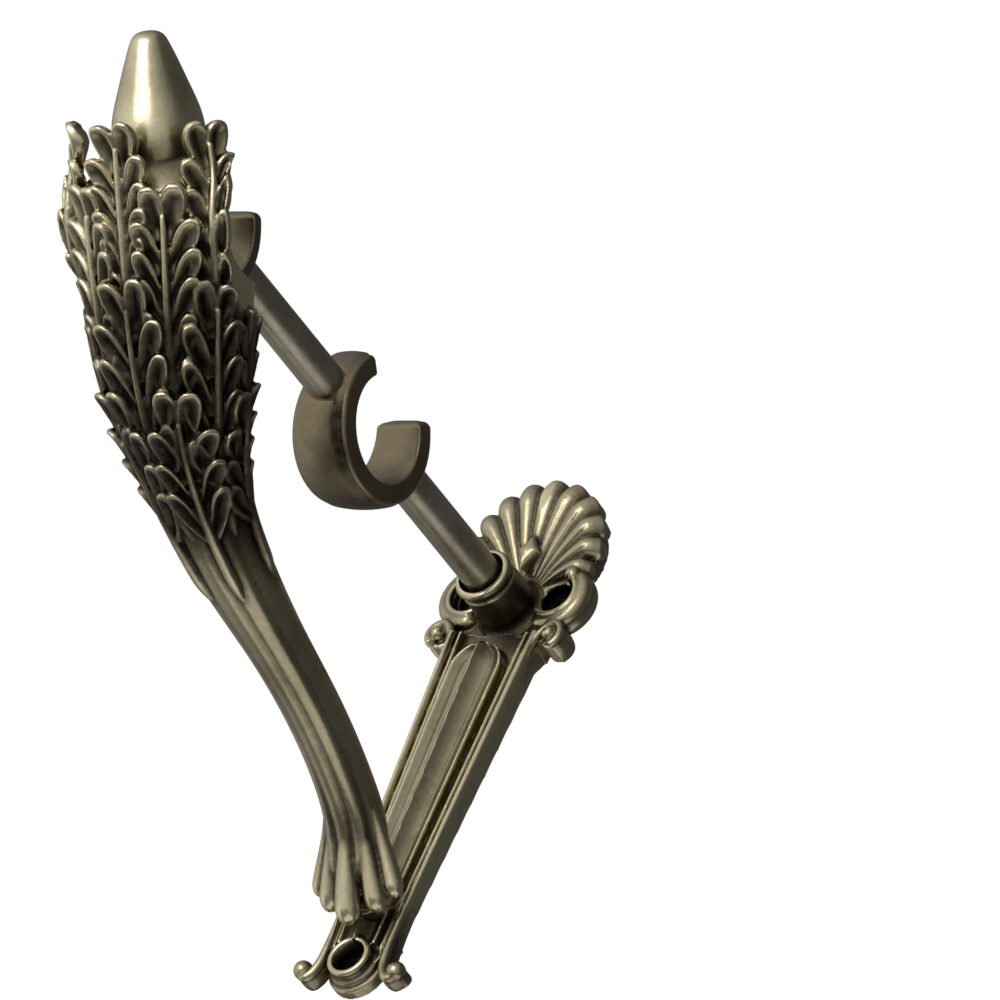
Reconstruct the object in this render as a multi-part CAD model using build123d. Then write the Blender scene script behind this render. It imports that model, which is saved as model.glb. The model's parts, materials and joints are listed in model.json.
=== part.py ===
from build123d import *
import os
from math import cos, degrees, pi, radians, sin, tan

# Ornate cast bracket for two curtain poles, in millimetres.
# The origin is on the wall, on the axis of the arm. +Z is up and -Y points into the room.

# Poles and how far they stand from the wall
REAR_POLE_D = 25.0
FRONT_POLE_D = 28.0
POLE_SLIP = 0.25
REAR_REACH = 75.0
FRONT_REACH = 155.0

# Ring cups
CUP_OUTER_D = 37.5
CUP_WIDTH_LOW = 17.0
CUP_WIDTH_HIGH = 12.0
CUP_LIP_ANGLE = 44.0
CUP_LIP_ROUND = 2.0
CUP_LIP_SHARE = 0.45

# Arm rods and their spigots
ROD_D = 9.5
SPIGOT_D = 6.0
SPIGOT_L = 3.0
LAND_DEPTH = 0.7
FIT_GAP = 0.1

# Socket boss on the plate
BOSS_D = 14.0
BOSS_REACH = 19.5
BOSS_MOUTH_D = 11.8
BOSS_MOUTH_DEPTH = 4.0
BOSS_FLOOR = 4.0
BOSS_RIM_ROUND = 0.9
GRUB_D = 4.0
GRUB_L = 2.2
GRUB_REACH = 12.0
GRUB_KEY = 2.0
GRUB_KEY_DEPTH = 1.4

# Wall plate shaft: a beaded tray and a fluted tongue, both tapering downward
SHAFT_TOP_Z = -8.0
SHAFT_BOTTOM_Z = -97.0
SHAFT_HALF = 13.0
SHAFT_TAPER = 0.72
BEAD_W = 2.1
BEAD_BASE = 6.8
BEAD_RISE = 1.4
BEAD_FLAT = 0.5
RIB_W = 1.4
RIB_RISE = 0.8
RIB_FLAT = 0.35
GROOVE_W = 0.7
GROOVE_DROP = 0.8
TRAY_FLOOR = 5.8
SHAFT_BACK_IN = 2.0
TONGUE_HALF = 7.5
TONGUE_RIM = 0.7
TONGUE_RIM_REACH = 9.2
TONGUE_CREST = 11.2
FLUTE_FLOOR = 7.9
FLUTE_SHARES = (0.72, 0.4, 0.12)
TONGUE_TOP_Z = -12.0
POCKET_DEPTH = 4.0
POCKET_HALF = 5.5
POCKET_ROUND = 3.3
POCKET_TOP_Z = -24.0
POCKET_BOTTOM_Z = -68.0

# Plate head: volutes, ears and shell
HEAD_FLOOR = 5.2
VOLUTE_X = 12.2
VOLUTE_Z = 3.2
VOLUTE_R = 6.9
VOLUTE_BEAD_R = 2.2
VOLUTE_BROW = (0.33, 0.75)
VOLUTE_CURL_ANGLE = 62.0
SCROLL_BALL_R = 2.5
WALL_SCREW_D = 4.6
SCREW_RECESS_D = 8.6
SCREW_RECESS_FLOOR = 2.6
EAR_X = 16.0
EAR_Z = -7.5
EAR_R = 4.0
EAR_REACH = 6.0
EAR_BAR_W = 6.4
SHELL_FOCUS_Z = 5.0
SHELL_TOP = 31.0
SHELL_SIDE = 20.5
SHELL_SPREAD = 68.0
SHELL_RIBS = 11
SHELL_ROOT = 4.0
SHELL_LEAN = 9.0
SHELL_BACK = 0.82
RIB_ROOT_R = 1.2
RIB_TIP_R = 3.3
RIB_AXIS = 2.6
LOZENGE_Z = 14.0
LOZENGE_HALF = 3.2
LOZENGE_REACH = 6.6

# Plate foot
FOOT_HOLE_Z = -101.0
FOOT_END_R = 7.6
FOOT_STEPS = 3
FOOT_STEP_IN = 1.0
FOOT_STEP_UP = 1.5
FOOT_BASE = 3.0
HOOK_X = 13.6
HOOK_Z = -103.0
HOOK_BALL_R = 2.7
HOOK_BAR_R = 1.7
HOOK_REACH = 3.2

# Seat of the brace on the plate
SEAT_Z = -84.0
SEAT_REACH = 9.2
SEAT_R = 6.8

# Brace: its head leans outward in front of the front pole
HEAD_LEAN = 44.6
HEAD_OFFSET = 9.6
HEAD_BACK = 52.0
HEAD_TIP = 45.5
STEM_WAYS = [(0.09, 0.29), (0.175, 0.41), (0.455, 0.61), (0.765, 0.76)]
FOOT_AXIS_REACH = 3.5
FOOT_AXIS_DROP = 4.0
STEM_SHAPE = [
    (0.0, 7.6, 5.0), (0.1, 8.0, 5.6), (0.2, 7.2, 6.0),
    (0.4, 6.9, 6.2), (0.6, 7.4, 6.7), (0.8, 9.2, 8.2),
]
BODY_SHAPE = [
    (-60, 11.4, 9.8), (-40, 16.4, 13.2), (-17, 19.8, 15.8),
    (4, 21.0, 16.3), (13, 17.6, 14.6), (20, 12.4, 11.8),
]
BAND_HALF = [(0.36, -1.0), (0.42, -0.77), (0.5, -0.94), (1.0, -0.25), (0.9, 0.6), (0.4, 1.0)]
BUD_START = 10.0
BUD_SHAPE = [(10.9, 20.5), (10.4, 25.5), (9.3, 29.5), (6.2, 38.5), (3.9, 44.3)]
BUD_END_R = 2.0
TOE_ROOT_R = 1.8
TOE_TIP_R = [3.0, 2.6, 2.2]
TOE_ROOTS = [(0.0, 16.3, 7.5), (3.6, 15.8, 8.0), (6.4, 14.6, 8.8)]
TOE_ENDS = [(0.0, 2.2, -8.9), (6.6, 2.3, -5.4), (10.6, 3.4, -2.3)]

# Acanthus leaves: start and length along the brace, and half a step round for every second tier
LEAF_TIERS = [(-21, 45, 0), (-41, 46, 1), (-66, 46, 0)]
LEAF_STEP = 68.0
LEAF_BACK_LIMIT = 105.0
LEAVES_A_SIDE = 2
LEAFLET_ROWS = [(0.02, 0.07, 46, 0.38), (0.24, 0.09, 40, 0.42), (0.46, 0.08, 30, 0.4)]
TIP_ROW = (0.56, 0.46)
LEAFLET_EDGE = [(0.26, 0.9), (0.62, 0.95)]
LEAFLET_SLIM = 0.27
LEAFLET_RISE = 1.7
LEAFLET_SINK = 2.6
LEAFLET_DISH = 1.1
LEAFLET_TILT = 12.0
TIP_TILT = 17.0
LEAFLET_PROBES = (0.0, 0.5, 1.0)

# Screws
CUP_SCREW_D = 4.0
CUP_SCREW_HEAD_D = 7.4
CUP_SCREW_L = 8.0
CUP_SCREW_SINK = 0.3
FOOT_SCREW_D = 4.0
FOOT_SCREW_HEAD_D = 7.6
FOOT_SCREW_L = 14.0
DRIVE_W = 1.0
DRIVE_L = 4.2
DRIVE_DEPTH = 1.0

# Facets of the cast ornaments, and the steps of a dome as shares of its radius and rise
BALL_SIDES = 8
SCROLL_SIDES = 16
BUD_SIDES = 18
SCREW_SIDES = 16
DOME_STEPS = [(0.8, 0.6), (0.3, 1.0)]

# Values worked out from the sizes above
FAR = 400.0
CUP_R = CUP_OUTER_D / 2
REAR_BORE_R = REAR_POLE_D / 2 + POLE_SLIP
FRONT_BORE_R = FRONT_POLE_D / 2 + POLE_SLIP
SEAT_TO_CUP = CUP_R - LAND_DEPTH
LEAN_ALONG = (cos(radians(HEAD_LEAN)), sin(radians(HEAD_LEAN)))
LEAN_FRONT = (LEAN_ALONG[1], -LEAN_ALONG[0])


def at(x, reach, z):
    """Point at a distance out from the wall."""
    return Vector(x, -reach, z)


def out_from_wall(x, z, reach=0.0):
    """Plane on the plate whose normal points into the room."""
    return Plane(origin=at(x, reach, z), x_dir=(1, 0, 0), z_dir=(0, -1, 0))


def rod_between(start, end, radius):
    """Round bar from one reach to another on the axis of the arm."""
    return extrude(out_from_wall(0, 0, start) * Circle(radius), amount=end - start)


def post(x, z, radius, reach, start=0.0):
    """Round boss standing out from the wall plane."""
    return extrude(out_from_wall(x, z, start) * Circle(radius), amount=reach - start)


def flat_sided(rings):
    """Solid with flat faces from each ring of points to the next, closed by its first and last rings."""
    faces = [Face(Wire.make_polygon(ring)) for ring in (rings[0], rings[-1])]
    for ring, after in zip(rings, rings[1:]):
        for i in range(len(ring)):
            j = i - 1
            faces.append(Face(Wire.make_polygon([ring[j], ring[i], after[i], after[j]])))
    return Solid(Shell(faces))


def faceted(rows, sides):
    """Many-sided turned form about Z through the radius and height of each row."""
    turns = [2 * pi * i / sides for i in range(sides)]
    return flat_sided([[Vector(r * cos(a), r * sin(a), z) for a in turns] for r, z in rows])


def domed(radius, reach, rise):
    """Rows of a low dome on a shoulder."""
    return [(radius, reach)] + [(radius * inward, reach + rise * up) for inward, up in DOME_STEPS]


def button(x, z, radius, reach, rise):
    """Dome-ended post that stands out from the wall plane."""
    return out_from_wall(x, z).location * faceted([(radius, 0), *domed(radius, reach, rise)], BALL_SIDES)


def teardrop(length, root, root_r, tip_r):
    """Tapering rib along +Z with a round end."""
    return faceted([(root_r, root), *domed(tip_r, length - tip_r, tip_r)], BALL_SIDES)


# Ring cups

def cup_outline(bore_r):
    """C-shaped section of a cup, open at the top, in its own plane."""
    low = radians(-90)
    front = radians(CUP_LIP_ANGLE)
    back = radians(180 - CUP_LIP_ANGLE)
    rim = [Vector(CUP_R * cos(a), CUP_R * sin(a)) for a in (front, low, back)]
    bore = [Vector(bore_r * cos(a), bore_r * sin(a)) for a in (back, low, front)]
    wire = ThreePointArc(*rim) + Line(rim[2], bore[0]) + ThreePointArc(*bore) + Line(bore[2], rim[0])
    section = make_face(wire)
    return fillet(section.vertices(), min(CUP_LIP_ROUND, CUP_LIP_SHARE * (CUP_R - bore_r)))


def cup(bore_r, reach, rods):
    """Cup at a reach, narrower towards its lips, with a flat land and a tapped hole for each rod."""
    low = CUP_WIDTH_LOW / 2
    high = CUP_WIDTH_HIGH / 2
    side = Plane(origin=at(-low, reach, 0), x_dir=(0, 1, 0), z_dir=(1, 0, 0))
    ring = extrude(side * cup_outline(bore_r), amount=CUP_WIDTH_LOW)
    face = make_face(Polyline((-low, -CUP_R), (low, -CUP_R), (high, CUP_R), (-high, CUP_R), close=True))
    ring = ring & extrude(out_from_wall(0, 0) * face, amount=FAR)
    for way in rods:
        seat = reach + way * SEAT_TO_CUP
        ring -= extrude(out_from_wall(0, 0, seat) * Rectangle(FAR, FAR), amount=way * CUP_R)
        ring -= rod_between(reach, seat, SPIGOT_D / 2 + FIT_GAP)
    return ring


# Arm rods

def arm_rod(start, end, spigots):
    """Straight rod with a turned spigot at each end that enters a cup."""
    rod = rod_between(start, end, ROD_D / 2)
    for seat, way in spigots:
        rod += rod_between(seat, seat + way * SPIGOT_L, SPIGOT_D / 2)
    return rod


# Wall plate

def tray_outline():
    """Half section of the beaded tray, from the middle to its outer edge."""
    bead_in = SHAFT_HALF - BEAD_W
    rib_out = bead_in - GROOVE_W
    rib_in = rib_out - RIB_W
    return [
        (0, 0),
        (SHAFT_HALF - SHAFT_BACK_IN, 0),
        (SHAFT_HALF, BEAD_BASE),
        (SHAFT_HALF - BEAD_FLAT, BEAD_BASE + BEAD_RISE),
        (bead_in + BEAD_FLAT, BEAD_BASE + BEAD_RISE),
        (bead_in, BEAD_BASE),
        (bead_in - GROOVE_W / 2, BEAD_BASE - GROOVE_DROP),
        (rib_out, BEAD_BASE),
        (rib_out - RIB_FLAT, BEAD_BASE + RIB_RISE),
        (rib_in + RIB_FLAT, BEAD_BASE + RIB_RISE),
        (rib_in, BEAD_BASE),
        (rib_in, TRAY_FLOOR),
        (0, TRAY_FLOOR),
    ]


def tongue_outline():
    """Half section of the tongue: a rim and one hollow flute up to the middle ridge."""
    flute_start = TONGUE_HALF - TONGUE_RIM
    far, near, slope = [flute_start * share for share in FLUTE_SHARES]
    return [
        (0, 0),
        (TONGUE_HALF, 0),
        (TONGUE_HALF, TONGUE_RIM_REACH),
        (flute_start, TONGUE_RIM_REACH),
        (far, FLUTE_FLOOR),
        (near, FLUTE_FLOOR),
        (slope, (FLUTE_FLOOR + TONGUE_CREST) / 2),
        (0, TONGUE_CREST),
    ]


def tapering(outline):
    """Solid from the full section at the top of the shaft to the smaller one at its foot, both halves."""
    top = [at(x, reach, SHAFT_TOP_Z) for x, reach in outline]
    foot = [at(x * SHAFT_TAPER, reach * SHAFT_TAPER, SHAFT_BOTTOM_Z) for x, reach in outline]
    half = flat_sided([top, foot])
    return half + mirror(half, about=Plane.YZ)


def shaft():
    """Beaded tray with the round-topped fluted tongue in it."""
    arch_z = TONGUE_TOP_Z - TONGUE_HALF
    tall = arch_z - SHAFT_BOTTOM_Z
    window = extrude(out_from_wall(0, arch_z) * Circle(TONGUE_HALF), amount=FAR)
    window += extrude(out_from_wall(0, arch_z - tall / 2) * Rectangle(SHAFT_HALF * 2, tall), amount=FAR)
    return tapering(tray_outline()) + (tapering(tongue_outline()) & window)


def shell():
    """Scallop shell of round-ended ribs that fan out above the boss and lean into the room."""
    forms = []
    tips = [(0, 0)]
    middle = (SHELL_RIBS - 1) / 2
    for i in range(SHELL_RIBS):
        turn = (i - middle) / middle
        length = SHELL_TOP + (SHELL_SIDE - SHELL_TOP) * turn * turn
        rib = Rot(SHELL_LEAN, 0, 0) * teardrop(length, SHELL_ROOT, RIB_ROOT_R, RIB_TIP_R)
        forms.append(Pos(0, -RIB_AXIS, SHELL_FOCUS_Z) * Rot(0, turn * SHELL_SPREAD, 0) * rib)
        way = radians(turn * SHELL_SPREAD)
        tips.append((length * SHELL_BACK * sin(way), length * SHELL_BACK * cos(way)))
    slope = tan(radians(SHELL_LEAN))
    behind = [at(x, 0, SHELL_FOCUS_Z + up) for x, up in tips]
    front = [at(x, RIB_AXIS + slope * up, SHELL_FOCUS_Z + up) for x, up in tips]
    forms.append(flat_sided([behind, front]))
    lozenge = RegularPolygon(LOZENGE_HALF, 4)
    return forms + [extrude(out_from_wall(0, LOZENGE_Z) * lozenge, amount=LOZENGE_REACH)]


def volute(side):
    """C-scroll round one upper screw hole, open towards the boss, with a ball at its upper end."""
    x = side * VOLUTE_X
    outer = VOLUTE_R + VOLUTE_BEAD_R
    inner = VOLUTE_R - VOLUTE_BEAD_R
    slope = VOLUTE_BEAD_R * VOLUTE_BROW[0]
    top = HEAD_FLOOR + VOLUTE_BEAD_R
    brow = HEAD_FLOOR + VOLUTE_BEAD_R * VOLUTE_BROW[1]
    scroll = faceted([(outer, 0), (outer, HEAD_FLOOR), (outer - slope, brow), (VOLUTE_R, top)], SCROLL_SIDES)
    scroll -= faceted([(inner, HEAD_FLOOR), (inner + slope, brow), (VOLUTE_R, top)], SCROLL_SIDES)
    scroll -= Pos(-side * outer, 0, HEAD_FLOOR + outer) * Box(outer * 2, outer * 2, outer * 2)
    curl_way = radians(VOLUTE_CURL_ANGLE)
    ball_x = x + side * VOLUTE_R * cos(curl_way)
    ball_z = VOLUTE_Z + VOLUTE_R * sin(curl_way)
    ball = button(ball_x, ball_z, SCROLL_BALL_R, HEAD_FLOOR, SCROLL_BALL_R)
    return [out_from_wall(x, VOLUTE_Z).location * scroll, ball]


def ear(side):
    """Round scroll end where the edge bead curls out below the volute."""
    x = side * EAR_X
    bar_x = x - side * EAR_R
    bar = extrude(out_from_wall(bar_x, EAR_Z) * Rectangle(EAR_R * 2, EAR_BAR_W), amount=EAR_REACH)
    return [button(x, EAR_Z, EAR_R, EAR_REACH, EAR_R), bar]


def foot_hook(side):
    """Hooked scroll and ball beside the lower screw hole."""
    start = Vector(side * (SHAFT_HALF * SHAFT_TAPER - HOOK_BAR_R), SHAFT_BOTTOM_Z + HOOK_BAR_R)
    end = Vector(side * HOOK_X, HOOK_Z)
    bend = (start + end) / 2 - Vector(side * HOOK_BAR_R, HOOK_BAR_R)
    curl = SlotArc(ThreePointArc(start, bend, end), HOOK_BAR_R * 2)
    bar = extrude(out_from_wall(0, 0) * curl, amount=HOOK_REACH)
    return [bar, button(side * HOOK_X, HOOK_Z, HOOK_BALL_R, HOOK_REACH, HOOK_BALL_R)]


def wall_plate():
    """Whole wall plate casting, cut off flat at the wall."""
    plate = shaft()
    field_tall = VOLUTE_Z + VOLUTE_R - TONGUE_TOP_Z
    field_z = (VOLUTE_Z + VOLUTE_R + TONGUE_TOP_Z) / 2
    forms = [extrude(out_from_wall(0, field_z) * Rectangle(SHAFT_HALF * 2, field_tall), amount=HEAD_FLOOR)]
    for i in range(FOOT_STEPS):
        step = [(FOOT_END_R - i * FOOT_STEP_IN, up) for up in (0, FOOT_BASE + i * FOOT_STEP_UP)]
        forms.append(out_from_wall(0, FOOT_HOLE_Z).location * faceted(step, SCROLL_SIDES))
    seat = faceted([(SEAT_R, 0), (SEAT_R, SEAT_REACH)], SCROLL_SIDES)
    forms.append(out_from_wall(0, SEAT_Z).location * seat)
    forms += shell()
    for side in (-1, 1):
        forms += volute(side) + ear(side) + foot_hook(side)
    boss = post(0, 0, BOSS_D / 2, BOSS_REACH)
    forms.append(chamfer(boss.edges().sort_by(Axis.Y)[:1], BOSS_RIM_ROUND))
    plate = plate.fuse(*forms)
    cuts = [Pos(0, FAR / 2, 0) * Box(FAR, FAR, FAR)]
    cuts.append(post(0, 0, ROD_D / 2 + FIT_GAP, FAR, BOSS_FLOOR))
    cuts.append(post(0, 0, BOSS_MOUTH_D / 2, FAR, BOSS_REACH - BOSS_MOUTH_DEPTH))
    cuts.append(Pos(*at(0, GRUB_REACH, BOSS_D / 2)) * Cylinder(GRUB_D / 2 + FIT_GAP, BOSS_D))
    for x, z in ((-VOLUTE_X, VOLUTE_Z), (VOLUTE_X, VOLUTE_Z), (0, FOOT_HOLE_Z)):
        cuts.append(post(x, z, WALL_SCREW_D / 2, FAR, -FAR))
        cuts.append(post(x, z, SCREW_RECESS_D / 2, FAR, SCREW_RECESS_FLOOR))
    pocket_tall = POCKET_TOP_Z - POCKET_BOTTOM_Z
    pocket_z = (POCKET_TOP_Z + POCKET_BOTTOM_Z) / 2
    pocket = RectangleRounded(POCKET_HALF * 2, pocket_tall, POCKET_ROUND)
    cuts.append(extrude(out_from_wall(0, pocket_z) * pocket, amount=POCKET_DEPTH))
    cuts.append(foot_screw_space())
    return plate.cut(*cuts)


# Leaf brace

def brace_axis():
    """Middle line of the brace, from its foot on the plate to the tip of the bud."""
    foot = at(0, SEAT_REACH + FOOT_AXIS_REACH, SEAT_Z - FOOT_AXIS_DROP)
    turn = at(0, FRONT_REACH + HEAD_OFFSET * LEAN_FRONT[0], HEAD_OFFSET * LEAN_FRONT[1])
    along = at(0, *LEAN_ALONG)
    neck = turn - along * HEAD_BACK
    ways = [at(0, -(foot.Y + (neck.Y - foot.Y) * f), foot.Z + (neck.Z - foot.Z) * g) for f, g in STEM_WAYS]
    return Spline(foot, *ways, neck, turn, turn + along * HEAD_TIP)


AXIS = brace_axis()
TURN_S = AXIS.length - HEAD_TIP
NECK_S = TURN_S + BODY_SHAPE[0][0]


def body_table():
    """Half width and half depth of the brace by distance along it."""
    stem = [(NECK_S * f, wide, deep) for f, wide, deep in STEM_SHAPE]
    return stem + [(TURN_S + u, wide, deep) for u, wide, deep in BODY_SHAPE]


def body_halves(s):
    """Half width and half depth of the brace at a distance along it."""
    rows = body_table()
    for (s0, wide0, deep0), (s1, wide1, deep1) in zip(rows, rows[1:]):
        if s <= s1:
            share = max(0.0, (s - s0) / (s1 - s0))
            return wide0 + (wide1 - wide0) * share, deep0 + (deep1 - deep0) * share
    return rows[-1][1:]


def across(s):
    """Plane square to the brace at a distance along it, with X sideways and -Y to its front."""
    spot = AXIS.position_at(s, position_mode=PositionMode.LENGTH)
    way = AXIS.tangent_at(s, position_mode=PositionMode.LENGTH)
    return Plane(origin=spot, x_dir=(1, 0, 0), z_dir=way)


def band_section(wide, deep):
    """Section with a middle band and two side bands, parted by two grooves on the front."""
    half = [(wide * x, deep * y) for x, y in BAND_HALF]
    other = [(-x, y) for x, y in reversed(half)]
    return make_face(Polyline(*half, *other, close=True))


def brace_body():
    """Stem and core of the head, through its sections."""
    return loft([across(s) * band_section(wide, deep) for s, wide, deep in body_table()])


def bud():
    """Plain bud, a cone with a blunt tip."""
    rows = [(BUD_SHAPE[0][0], BUD_START), *BUD_SHAPE, (BUD_END_R, HEAD_TIP)]
    return across(TURN_S).location * faceted(rows, BUD_SIDES)


def leaflet(length, tilt):
    """Pointed leaflet along +X with a hollow face towards +Z, tilted up towards its point."""
    half = length * LEAFLET_SLIM
    edge = [(length * share, half * width) for share, width in LEAFLET_EDGE]
    other = [(x, -y) for x, y in reversed(edge)]
    flat = make_face(Polyline((0, 0), *edge, (length, 0), *other, close=True))
    blade = extrude(Pos(0, 0, -LEAFLET_SINK) * flat, amount=LEAFLET_SINK + LEAFLET_RISE)
    brim = LEAFLET_RISE + LEAFLET_DISH
    bottom = LEAFLET_RISE - LEAFLET_DISH
    crease = make_face(Polyline((0, bottom), (half * 2, brim), (-half * 2, brim), close=True))
    hollow = extrude(Pos(-length, 0, 0) * Plane.YZ * crease, amount=length * 3)
    return Rot(0, -tilt, 0) * (blade - hollow)


def on_body(s, azimuth, turn):
    """Place on the oval surface of the brace: X along the leaf, Z out of the surface."""
    here = across(s)
    wide, deep = body_halves(s)
    a = radians(azimuth)
    spot = here.origin + here.x_dir * wide * sin(a) - here.y_dir * deep * cos(a)
    outward = (here.x_dir * deep * sin(a) - here.y_dir * wide * cos(a)).normalized()
    leaf_plane = Plane(origin=spot - outward * LEAFLET_SINK / 2, x_dir=here.z_dir, z_dir=outward)
    return leaf_plane.location * Rot(0, 0, turn)


def clear_of_pole(place, length):
    """Whether a leaflet that starts at a place stays out of the room for the front pole."""
    pole = at(0, FRONT_REACH, 0)
    for share in LEAFLET_PROBES:
        spot = (place * Pos(length * share, 0, 0)).position
        if Vector(0, spot.Y - pole.Y, spot.Z - pole.Z).length < FRONT_BORE_R + LEAFLET_SINK / 2:
            return False
    return True


def leaf(start, length, azimuth):
    """One acanthus leaf: pairs of leaflets along its midrib and a larger one at the point."""
    spots = [(TIP_ROW[0], 0, 0, TIP_ROW[1], TIP_TILT)]
    for share, aside, turn, size in LEAFLET_ROWS:
        for side in (-1, 1):
            spots.append((share, side * aside, side * turn, size, LEAFLET_TILT))
    blades = []
    for share, aside, turn, size, tilt in spots:
        s = TURN_S + start + share * length
        swing = degrees(aside * length / body_halves(s)[0])
        place = on_body(s, azimuth + swing, turn)
        if clear_of_pole(place, size * length):
            blades.append(place * leaflet(size * length, tilt))
    return blades


def leaves():
    """All tiers of leaves, each tier set half a step round from the one below."""
    blades = []
    for start, length, shift in LEAF_TIERS:
        for i in range(-LEAVES_A_SIDE, LEAVES_A_SIDE + 1):
            azimuth = (i + shift / 2) * LEAF_STEP
            if abs(azimuth) < LEAF_BACK_LIMIT:
                blades += leaf(start, length, azimuth)
    return blades


def toes():
    """Round lobes that spread from the front of the stem down over the plate."""
    lobes = []
    for root, end, tip_r in zip(TOE_ROOTS, TOE_ENDS, TOE_TIP_R):
        for side in ((-1, 1) if end[0] else (1,)):
            spots = [at(side * x, SEAT_REACH + up, SEAT_Z + z) for x, up, z in (root, end)]
            way = spots[1] - spots[0]
            lobe = teardrop(way.length + tip_r, 0, TOE_ROOT_R, tip_r)
            lobes.append(Plane(origin=spots[0], x_dir=(1, 0, 0), z_dir=way).location * lobe)
    return lobes


def pole_space():
    """Room behind the head for the front pole, and the pocket that its cup sits in from behind."""
    side = Plane(origin=at(0, FRONT_REACH, 0), x_dir=(0, -1, 0), z_dir=(1, 0, 0))
    pole = extrude(side * Circle(FRONT_BORE_R + POLE_SLIP), amount=FAR, both=True)
    wide = CUP_WIDTH_LOW / 2 + FIT_GAP
    seat = extrude(side * Circle(CUP_R + FIT_GAP), amount=wide, both=True)
    behind = Plane(origin=at(0, FRONT_REACH, 0), x_dir=(1, 0, 0), z_dir=at(0, *LEAN_FRONT) * -1)
    mouth = extrude(behind * Rectangle(wide * 2, CUP_OUTER_D + FIT_GAP * 2), amount=FAR)
    return [pole, seat, mouth]


def leaf_brace():
    """Whole brace casting, with its flat foot, its saddle for the cup and its screw holes."""
    brace = brace_body()
    brace = brace.fuse(bud(), *toes(), *leaves())
    cuts = pole_space()
    cuts.append(Pos(0, FAR / 2 - SEAT_REACH, 0) * Box(FAR, FAR, FAR))
    cuts += [foot_screw_space(), cup_screw_space()]
    return brace.cut(*cuts)


# Screws

def countersunk(diameter, head_d, length):
    """Countersunk screw along +Z from the flat of its head at the origin."""
    head_r = head_d / 2
    shank_r = diameter / 2
    return faceted([(head_r, 0), (shank_r, head_r - shank_r), (shank_r, length)], SCREW_SIDES)


def countersunk_space(diameter, head_d, length):
    """Clearance for such a screw, with an open way over its head."""
    head_r = head_d / 2 + FIT_GAP
    shank_r = diameter / 2 + FIT_GAP
    rows = [(head_r, -head_d), (head_r, 0), (shank_r, head_r - shank_r), (shank_r, length + FIT_GAP)]
    return faceted(rows, SCREW_SIDES)


def driven(screw):
    """Screw with a cross slot in its head."""
    slot = Box(DRIVE_L, DRIVE_W, DRIVE_DEPTH * 2) + Box(DRIVE_W, DRIVE_L, DRIVE_DEPTH * 2)
    return screw - slot


def foot_screw_place():
    """Head flush with the back of the plate, pointing into the foot."""
    return out_from_wall(0, SEAT_Z).location


def foot_screw_space():
    """Clearance for the foot screw."""
    return foot_screw_place() * countersunk_space(FOOT_SCREW_D, FOOT_SCREW_HEAD_D, FOOT_SCREW_L)


def cup_screw_place():
    """Head just below the bore of the front cup, pointing into the head of the brace."""
    front = at(0, *LEAN_FRONT)
    depth = FRONT_BORE_R + CUP_SCREW_SINK
    return Plane(origin=at(0, FRONT_REACH, 0) + front * depth, x_dir=(1, 0, 0), z_dir=front).location


def cup_screw_space():
    """Clearance for the cup screw."""
    return cup_screw_place() * countersunk_space(CUP_SCREW_D, CUP_SCREW_HEAD_D, CUP_SCREW_L)


def socket_grub_screw():
    """Headless screw in the top of the boss, its point on the rod."""
    body = Pos(*at(0, GRUB_REACH, ROD_D / 2 + GRUB_L / 2)) * Cylinder(GRUB_D / 2, GRUB_L)
    key_at = at(0, GRUB_REACH, ROD_D / 2 + GRUB_L - GRUB_KEY_DEPTH)
    return body - extrude(Plane(key_at) * RegularPolygon(GRUB_KEY / 2, 6), amount=GRUB_L)


def main():
    rear_in = REAR_REACH - SEAT_TO_CUP
    rear_out = REAR_REACH + SEAT_TO_CUP
    front_in = FRONT_REACH - SEAT_TO_CUP
    pieces = {
        "wall_plate": wall_plate(),
        "rear_rod": arm_rod(BOSS_FLOOR, rear_in, [(rear_in, 1)]),
        "rear_cup": cup(REAR_BORE_R, REAR_REACH, (-1, 1)),
        "front_rod": arm_rod(rear_out, front_in, [(rear_out, -1), (front_in, 1)]),
        "front_cup": cup(FRONT_BORE_R, FRONT_REACH, (-1,)) - cup_screw_space(),
        "leaf_brace": leaf_brace(),
        "cup_screw": cup_screw_place() * driven(countersunk(CUP_SCREW_D, CUP_SCREW_HEAD_D, CUP_SCREW_L)),
        "foot_screw": foot_screw_place() * driven(countersunk(FOOT_SCREW_D, FOOT_SCREW_HEAD_D, FOOT_SCREW_L)),
        "socket_grub_screw": socket_grub_screw(),
    }
    os.makedirs("parts", exist_ok=True)
    for name, piece in pieces.items():
        export_step(piece, f"parts/{name}.step")


main()
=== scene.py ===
"""Looks of an ornate cast bracket for two curtain poles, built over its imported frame."""
import json
import math

import bpy
import numpy as np
from bpy.props import FloatProperty, FloatVectorProperty, IntProperty, PointerProperty
from mathutils import Matrix, Vector


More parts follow.
